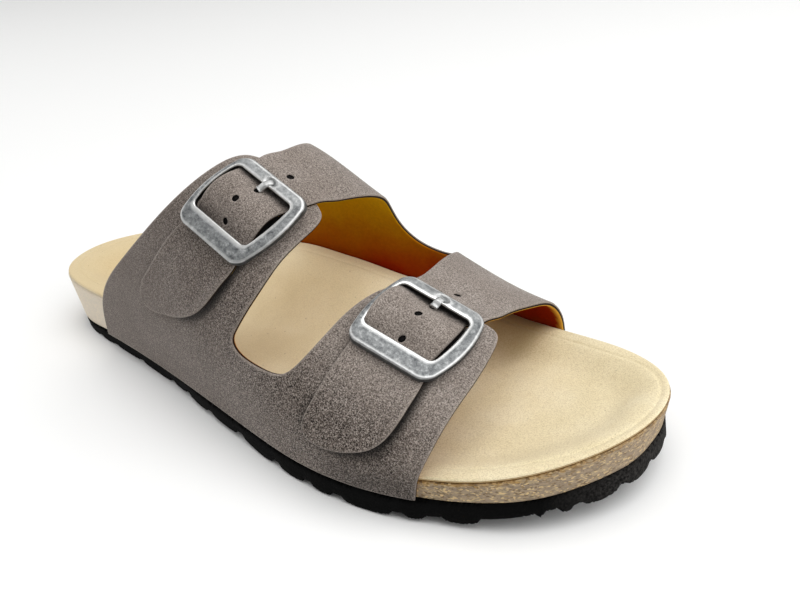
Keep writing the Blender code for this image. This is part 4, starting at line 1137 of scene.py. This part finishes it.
def besideTips(plan, straps):  # shade on the outer panel beside the strap ends, most at their front edge
    far = np.where(insideLoop(straps, plan), 0.0, toLoop(plan, straps))
    dark = np.zeros(len(plan))
    zoneA, zoneB, zoneH = upper["shadeZone"]
    for seat, a, b, h in overSeats(plan):
        front = rise(a, *upper["shadeAcross"])
        reach = upper["shadeReach"][0] + upper["shadeReach"][1] * front
        reach = reach + upper["shadeBelow"][seat.name] * rise(b, *upper["shadeBelowSpan"])
        depth = upper["shadeDepth"][0] + upper["shadeDepth"][1] * front
        start = rise(b, buckle["windowLow"], buckle["windowLow"] - upper["shadeStart"])
        here = start * soft(1.0 - far / reach) * depth
        dark = np.where((np.abs(a) < zoneA) & (b > zoneB) & (h < zoneH), np.maximum(dark, here), dark)
    return dark


def buildPanel(name, loop, holes, strapped, straps=None):
    loops = [loop] + holes
    inside = [inward(loop, inset) for inset in upper["edgeRings"]]
    inside += [inward(hole, -inset) for hole in holes for inset in upper["edgeRings"]]
    grid = planGrid(loop, upper["grid"], upper["edgeClear"])
    if straps is not None:  # finer where the strap ends cast their shade
        rings = np.vstack([inward(straps, inset) for inset in upper["shadeRings"]])
        rings = rings[insideLoop(loop, rings)]
        lowEnough = rings[:, 1] < tabTop(rings[:, 0]) - upper["ringTop"]
        rings = rings[(toLoop(rings, loop) > upper["edgeClear"]) & lowEnough]
        grid = grid[nearestOf(rings, grid)[0] > upper["ringClear"]]
        inside.append(rings)
    for hole in holes:
        grid = grid[np.hypot(*(grid - hole.mean(axis=0)).T) > upper["holeSize"] / 2 + upper["holeClear"]]
    plan, faces = fillLoops(loops, np.vstack(inside + [grid]))
    gap = np.min([toLoop(plan, one) for one in loops], axis=0)
    drop = roundedDrop(upper["edgeRound"], gap)
    base, normal = skin(plan), skinNormal(plan)
    off = np.zeros(len(plan))
    if strapped:
        off = strapLift(plan) + tipLift(plan) * soft(1.0 - toLoop(plan, loop) / upper["tipRun"])
    top = base + normal * (off - drop)[:, None]
    bottom = base + normal * (off - upper["thick"] + drop)[:, None]
    sheet = closedSheet(faces, top, bottom, (upper["faceShare"],))
    points, body, kinds = sheet["points"], sheet["faces"], sheet["kinds"]
    looks = np.minimum(kinds, liningEdge)
    x, z = base[:, 0], base[:, 2]
    marks = {
        "crest": rise(normal[:, 2], *upper["crest"]),
        "rim": rise(gap, *upper["rimLine"]),
        "edgeHighlight": rise(gap, *upper["edgeHighlight"]) * rise(x, *upper["edgeHighlightAlong"])}
    if strapped:
        marks["shaded"] = underBar(plan)
        # painted shade on the lining under the strap ends
        marks["tip"] = soft(tipLift(plan) / upper["tipLift"][0])
    else:
        # painted light towards the outer panel's front edge, and painted shade at its foot
        pale, shade = (amount * rise(x, *along) * rise(z, *up) for amount, along, up in (
            upper["paintedFrontLight"], upper["footShade"]))
        marks["crest"] = np.maximum(marks["crest"], pale)
        marks["shaded"] = np.maximum(np.maximum(underFrame(plan), besideTips(plan, straps)), shade)
        marks["tip"] = np.zeros(len(plan))
    marks = {mark: values[sheet["owner"]] for mark, values in marks.items()}
    if holes:
        middles = np.array([hole.mean(axis=0) for hole in holes])
        walls = np.flatnonzero(kinds >= 2)
        ends = plan[sheet["owner"][[body[i][0] for i in walls]]]
        # the walls of the holes are painted near black, as painted shade
        looks[walls[nearestOf(middles, ends)[0] < upper["holeSize"]]] = holeShade
        plugs, plugFaces = holeShadeDiscs(holes, len(points))
        points = np.vstack([points] + plugs)
        body = body + plugFaces
        looks = np.concatenate([looks, np.full(len(plugFaces), holeShade)])
        marks = {mark: np.pad(values, (0, len(points) - len(values))) for mark, values in marks.items()}
    makePiece(name, points, body, "upper", upperMaterials, looks, marks)


def buildUpper():
    step = upper["edgeStep"]
    outerLoop = joinedLoop(
        curveThrough(onFoot(upper["outerRear"]), False, step),
        curveThrough(upper["outerCutout"], False, step),
        curveThrough(onFoot(upper["outerFront"]), False, step),
        footLine(upper["outerFront"][-1][0], upper["outerRear"][0][0], False))
    rows = fromInner(upper["innerRear"]) + list(upper["rearStrap"])
    rows += fromInner(upper["innerCutout"]) + list(upper["frontStrap"]) + fromInner(upper["innerFront"])
    innerLoop = joinedLoop(
        clearOfFrames(curveThrough(rows, False, step)),
        footLine(upper["innerFront"][-1][0], upper["innerRear"][0][0], True))
    holes = [roundHole(place) for place in upper["strapHoles"]]
    buildPanel("outer_panel", outerLoop, [], False, innerLoop)
    buildPanel("inner_panel_and_straps", innerLoop, holes, True)


buildUpper()


def antiqueSilver():
    # zinc casting, plated and antiqued: grey patina in clouds over the flats, black in the recesses and on
    # the bar walls, partly patina and partly painted shade, bright where the edges were rubbed back, the high
    # bar painted brighter as painted light
    material, tree, shader = newMaterial("antiqued_silver_plate")
    place = addNode(tree, "TexCoord").outputs["Object"]
    cloud = addNode(tree, "TexNoise", {
        "Vector": place, "Scale": perMetre(2.0), "Detail": 6.0, "Roughness": 0.75})
    grain = addNode(tree, "TexNoise", {"Vector": place, "Scale": perMetre(0.35), "Detail": 2.0})
    patina = addNode(tree, "ValToRGB", {"Fac": cloud}, ramp=[
        (0.34, "#595b5c"), (0.46, "#7f8182"), (0.56, "#979999"), (0.68, "#c2c3c3")])
    rubbed = addNode(tree, "Attribute", attribute_name="rubbed").outputs["Fac"]
    bright = addNode(tree, "Mix", {0: rubbed, 6: patina, 7: linear("#e9e9e7")})
    # near black on the walls and in the recesses: partly patina, partly painted shade
    patinaAndShade = addNode(tree, "Attribute", attribute_name="patinaAndShade").outputs["Fac"]
    colour = addNode(tree, "Mix", {0: patinaAndShade, 6: bright, 7: linear("#141414")})
    rough = addNode(tree, "MapRange", {"Value": rubbed, "To Min": 0.62, "To Max": 0.3})
    bump = addNode(tree, "Bump", {"Height": grain, "Strength": 0.3, "Distance": 0.15 * mm})
    setInputs(tree, shader, {"Base Color": colour, "Roughness": rough, "Normal": bump, "Metallic": 1.0})
    return material


silver = antiqueSilver()


def cornerPath(half, low, high, corner):  # rounded rectangle, with as many points on each side and corner
    sides, turns = buckle["sidePoints"], buckle["cornerPoints"]
    corners = ((half - corner, high - corner, 90), (half - corner, low + corner, 0),
               (corner - half, low + corner, -90), (corner - half, high - corner, -180))
    arcs = []
    for x, y, start in corners:
        angles = [math.radians(start - 90 * i / turns) for i in range(turns + 1)]
        arcs.append([(x + corner * math.cos(angle), y + corner * math.sin(angle)) for angle in angles])
    path = []
    for arc, following in zip(arcs, arcs[1:] + arcs[:1]):
        path += arc
        for t in (i / sides for i in range(1, sides)):
            path.append(tuple(arc[-1][c] * (1 - t) + following[0][c] * t for c in (0, 1)))
    return np.array(path)


def buildBuckle(seat):
    outer = cornerPath(buckle["half"], buckle["low"], buckle["high"], buckle["outerCorner"])
    inner = cornerPath(buckle["windowHalf"], buckle["windowLow"], buckle["windowHigh"], buckle["innerCorner"])
    outer = bowed(outer, buckle["low"], buckle["high"], buckle["bow"])
    inner = bowed(inner, buckle["windowLow"], buckle["windowHigh"], buckle["windowBow"])
    inner = inner + (buckle["windowShift"], 0.0)
    count = len(outer)
    width = np.linalg.norm(inner - outer, axis=1)
    across = (inner - outer) / width[:, None]
    # the bar's section, as inset, height, side, shine, and dark of patina and painted shade: outer wall,
    # rounded edge, slightly domed top, rounded inner edge, inner wall
    turn = [(math.cos(t), math.sin(t)) for t in np.linspace(0.0, np.pi / 2, 6)]
    ro, ri, thick, dome = buckle["outerRound"], buckle["innerRound"], buckle["thick"], buckle["dome"]
    wall, edge, dark = buckle["outerLook"]
    section = [(0.0, None, "outer", wall, dark), (0.0, thick - ro - buckle["wallRow"], "outer", wall, dark)]
    section += [(ro * (1 - c), thick - ro + ro * s, "outer", wall + edge * s ** 2, 0.0) for c, s in turn]
    section += [(s, thick + dome * (1 - (2 * s - 1) ** 2), "share", 0.0, 0.0) for s in buckle["domeShares"]]
    wall, foot, edge, dark = buckle["innerLook"]
    section += [(ri * (1 - c), thick - ri + ri * s, "inner", foot + edge * s ** 2, 0.0)
                for c, s in turn[:0:-1]]
    section += [(0.0, thick - ri, "inner", foot, dark), (0.0, None, "inner", wall, dark)]
    bossShine, bossLine = buckle["bossShine"]
    points, rubbed, patinaAndShade = [], [], []
    for s, h, side, shine, dark in section:
        inset = {"outer": np.full(count, s), "inner": width - s, "share": ro + (width - ro - ri) * s}[side]
        at = outer + across * inset[:, None]
        u, v = seat.fromFrame(at[:, 0], at[:, 1])
        if h is None:
            past = np.clip(np.abs(at[:, 1]) / buckle["windowHigh"], 0.0, 1.0)
            height = buckle["stand"] + (buckle["strapStand"] - buckle["stand"]) * soft(past)
        else:
            away = np.hypot(*((at - buckle["boss"]) / buckle["bossSize"]).T)
            boss = buckle["bossRise"] * np.exp(-((away - 1.0) / buckle["bossRim"]) ** 2)
            boss = boss - buckle["bossDip"] * rise(away, *buckle["bossHollow"])
            height = seat.frameRise(v) + h + (boss if h > thick * buckle["bossFrom"] else 0.0)
            shine = shine + bossShine * np.exp(-((away - 1.0) / bossLine) ** 2)
            # painted light: the high bar is painted brighter
            onBar = soft((at[:, 1] - buckle["windowHigh"]) / buckle["barPaintedLightRun"])
            shine = shine + buckle["barPaintedLight"] * onBar
        points.append(seat.place(u, v, height))
        rubbed.append(np.clip(np.zeros(count) + shine, 0.0, 1.0))
        patinaAndShade.append(np.full(count, dark))
    rows = len(section)
    faces = []
    for r in range(rows):
        for k in range(count):
            a, b = r * count + k, r * count + (k + 1) % count
            c = (r + 1) % rows * count
            faces.append((a, b, c + (k + 1) % count, c + k))
    makePiece("buckle_frame_" + seat.name, np.vstack(points), faces, "buckle_" + seat.name,
              [silver], marks={"rubbed": np.concatenate(rubbed), "patinaAndShade": np.concatenate(patinaAndShade)})


prong = {
    "width": 2.9,
    "thick": 1.5,
    "from": {"rear": (-1.5, 8.2), "front": (-0.6, 8.8)},  # in the strap's hole, on the frame's plan
    "to": {"rear": (0.2, 13.6), "front": (-0.2, 13.4)},  # in the high bar's oval
    "taper": 0.2,
    "squareness": 0.7,
    "tipStart": 0.88,  # share of its length from which the end is rounded
    "tipLeast": 0.03,  # keeps its last ring open
    "overHole": 0.4,
    "overBar": 0.1,
    "climb": (0.05, 0.55),  # from the hole up to the bar, by share of its length
    "dip": 0.35,  # its end goes down into the oval
    "dipSpan": (0.75, 1.0),
    "shine": 0.45,
    "stations": 26,
    "sides": 18,
}


def buildProng(seat):
    start, end = np.array(prong["from"][seat.name]), np.array(prong["to"][seat.name])
    sideways = np.array([end[1] - start[1], start[0] - end[0]]) / np.hypot(*(end - start))
    points, faces = [], []
    count, stations = prong["sides"], prong["stations"]
    turn = np.linspace(0.0, 2 * np.pi, count, endpoint=False)
    c, s = (np.sign(wave) * np.abs(wave) ** prong["squareness"] for wave in (np.cos(turn), np.sin(turn)))
    for t in np.linspace(0.0, 1.0, stations):
        half = prong["width"] / 2 * (1.0 - prong["taper"] * t)
        thick = prong["thick"] * (1.0 - prong["taper"] * t)
        past = max((t - prong["tipStart"]) / (1.0 - prong["tipStart"]), 0.0)
        tip = math.sqrt(max(1.0 - past ** 2, prong["tipLeast"]))
        at = start + (end - start) * t + np.outer(half * tip * c, sideways)
        u, v = seat.fromFrame(at[:, 0], at[:, 1])
        onBar = seat.frameRise(v) + buckle["thick"] - buckle["bossDip"] + prong["overBar"]
        onBar = onBar - prong["dip"] * rise(t, *prong["dipSpan"])
        inHole = upper["thick"] - upper["sink"] + prong["overHole"]
        rest = inHole + (onBar - inHole) * rise(t, *prong["climb"])
        points.append(seat.place(u, v, rest + thick / 2 + thick / 2 * tip * s))
    for k in range(stations - 1):
        for i in range(count):
            j = (i + 1) % count
            faces.append((k * count + i, k * count + j, (k + 1) * count + j, (k + 1) * count + i))
    faces += [tuple(range(count)), tuple((stations - 1) * count + i for i in range(count))]
    points = np.vstack(points)
    makePiece("buckle_prong_" + seat.name, points, faces, "prong_" + seat.name, [silver],
              marks={"rubbed": np.full(len(points), prong["shine"]), "patinaAndShade": np.zeros(len(points))})


for seat in seats:
    buildBuckle(seat)
    buildProng(seat)
print("pieces built")

# Camera as the photograph was taken, and plain studio light with the windows behind and to the sides
studio = {
    "lens": 38.696,
    "yaw": 39.691,
    "pitch": 31.0,
    "roll": -6.302,
    "target": (15.005, 35.630, 20.0),
    "distance": 343.831,
    "floorSize": 6.0,
    "floorColour": "#fafaf9",
    "roomColour": "#ffffff",
    "roomStrength": 0.25,
    "lights": (
        # name, place, aim, size, watts, colour
        ("ceiling", (0.35, 0.05, 1.3), (0.05, 0.0, 0.0), 1.3, 13.6, "#ffffff"),
        ("window_behind", (0.3, 1.3, 1.0), (0.0, 0.0, 0.0), 1.2, 3.0, "#ffffff"),
        ("window_right", (1.3, 0.2, 0.7), (0.1, 0.0, 0.0), 1.2, 9.0, "#ffffff"),
        ("window_left", (-1.2, -0.5, 0.7), (0.0, 0.0, 0.0), 1.2, 7.5, "#ffffff"),
    ),
}


def buildCamera():
    yaw, pitch, roll = (math.radians(studio[k]) for k in ("yaw", "pitch", "roll"))
    back = Vector((math.sin(yaw) * math.cos(pitch), -math.cos(yaw) * math.cos(pitch), math.sin(pitch)))
    level = Vector((math.cos(yaw), math.sin(yaw), 0.0))
    upright = back.cross(level)
    right = level * math.cos(roll) + upright * math.sin(roll)
    up = upright * math.cos(roll) - level * math.sin(roll)
    spot = (Vector(studio["target"]) + back * studio["distance"]) * mm
    camera = bpy.data.objects.new("camera", bpy.data.cameras.new("camera"))
    camera.data.lens = studio["lens"]
    camera.data.clip_start = 0.01
    camera.matrix_world = Matrix([(right[i], up[i], back[i], spot[i]) for i in range(3)] + [(0, 0, 0, 1)])
    scene.collection.objects.link(camera)
    scene.camera = camera


def buildStage():
    half = studio["floorSize"] / 2
    mesh = bpy.data.meshes.new("floor")
    corners = [(-half, -half, 0), (half, -half, 0), (half, half, 0), (-half, half, 0)]
    mesh.from_pydata(corners, [], [(0, 1, 2, 3)])
    material, tree, shader = newMaterial("white_paper_floor")
    setInputs(tree, shader, {
        "Base Color": linear(studio["floorColour"]), "Roughness": 0.9, "Specular IOR Level": 0.1})
    mesh.materials.append(material)
    floor = bpy.data.objects.new("floor", mesh)
    scene.collection.objects.link(floor)
    world = bpy.data.worlds.new("room")
    world.use_nodes = True
    background = world.node_tree.nodes["Background"]
    setInputs(world.node_tree, background, {
        "Color": linear(studio["roomColour"]), "Strength": studio["roomStrength"]})
    scene.world = world
    for name, place, aim, size, watts, colour in studio["lights"]:
        light = bpy.data.lights.new(name, "AREA")
        light.size = size
        light.energy = watts
        light.color = linear(colour)[:3]
        lamp = bpy.data.objects.new(name, light)
        lamp.location = place
        lamp.rotation_euler = (Vector(aim) - Vector(place)).to_track_quat("-Z", "Y").to_euler()
        scene.collection.objects.link(lamp)
    scene.view_settings.view_transform = "Standard"


buildCamera()
buildStage()
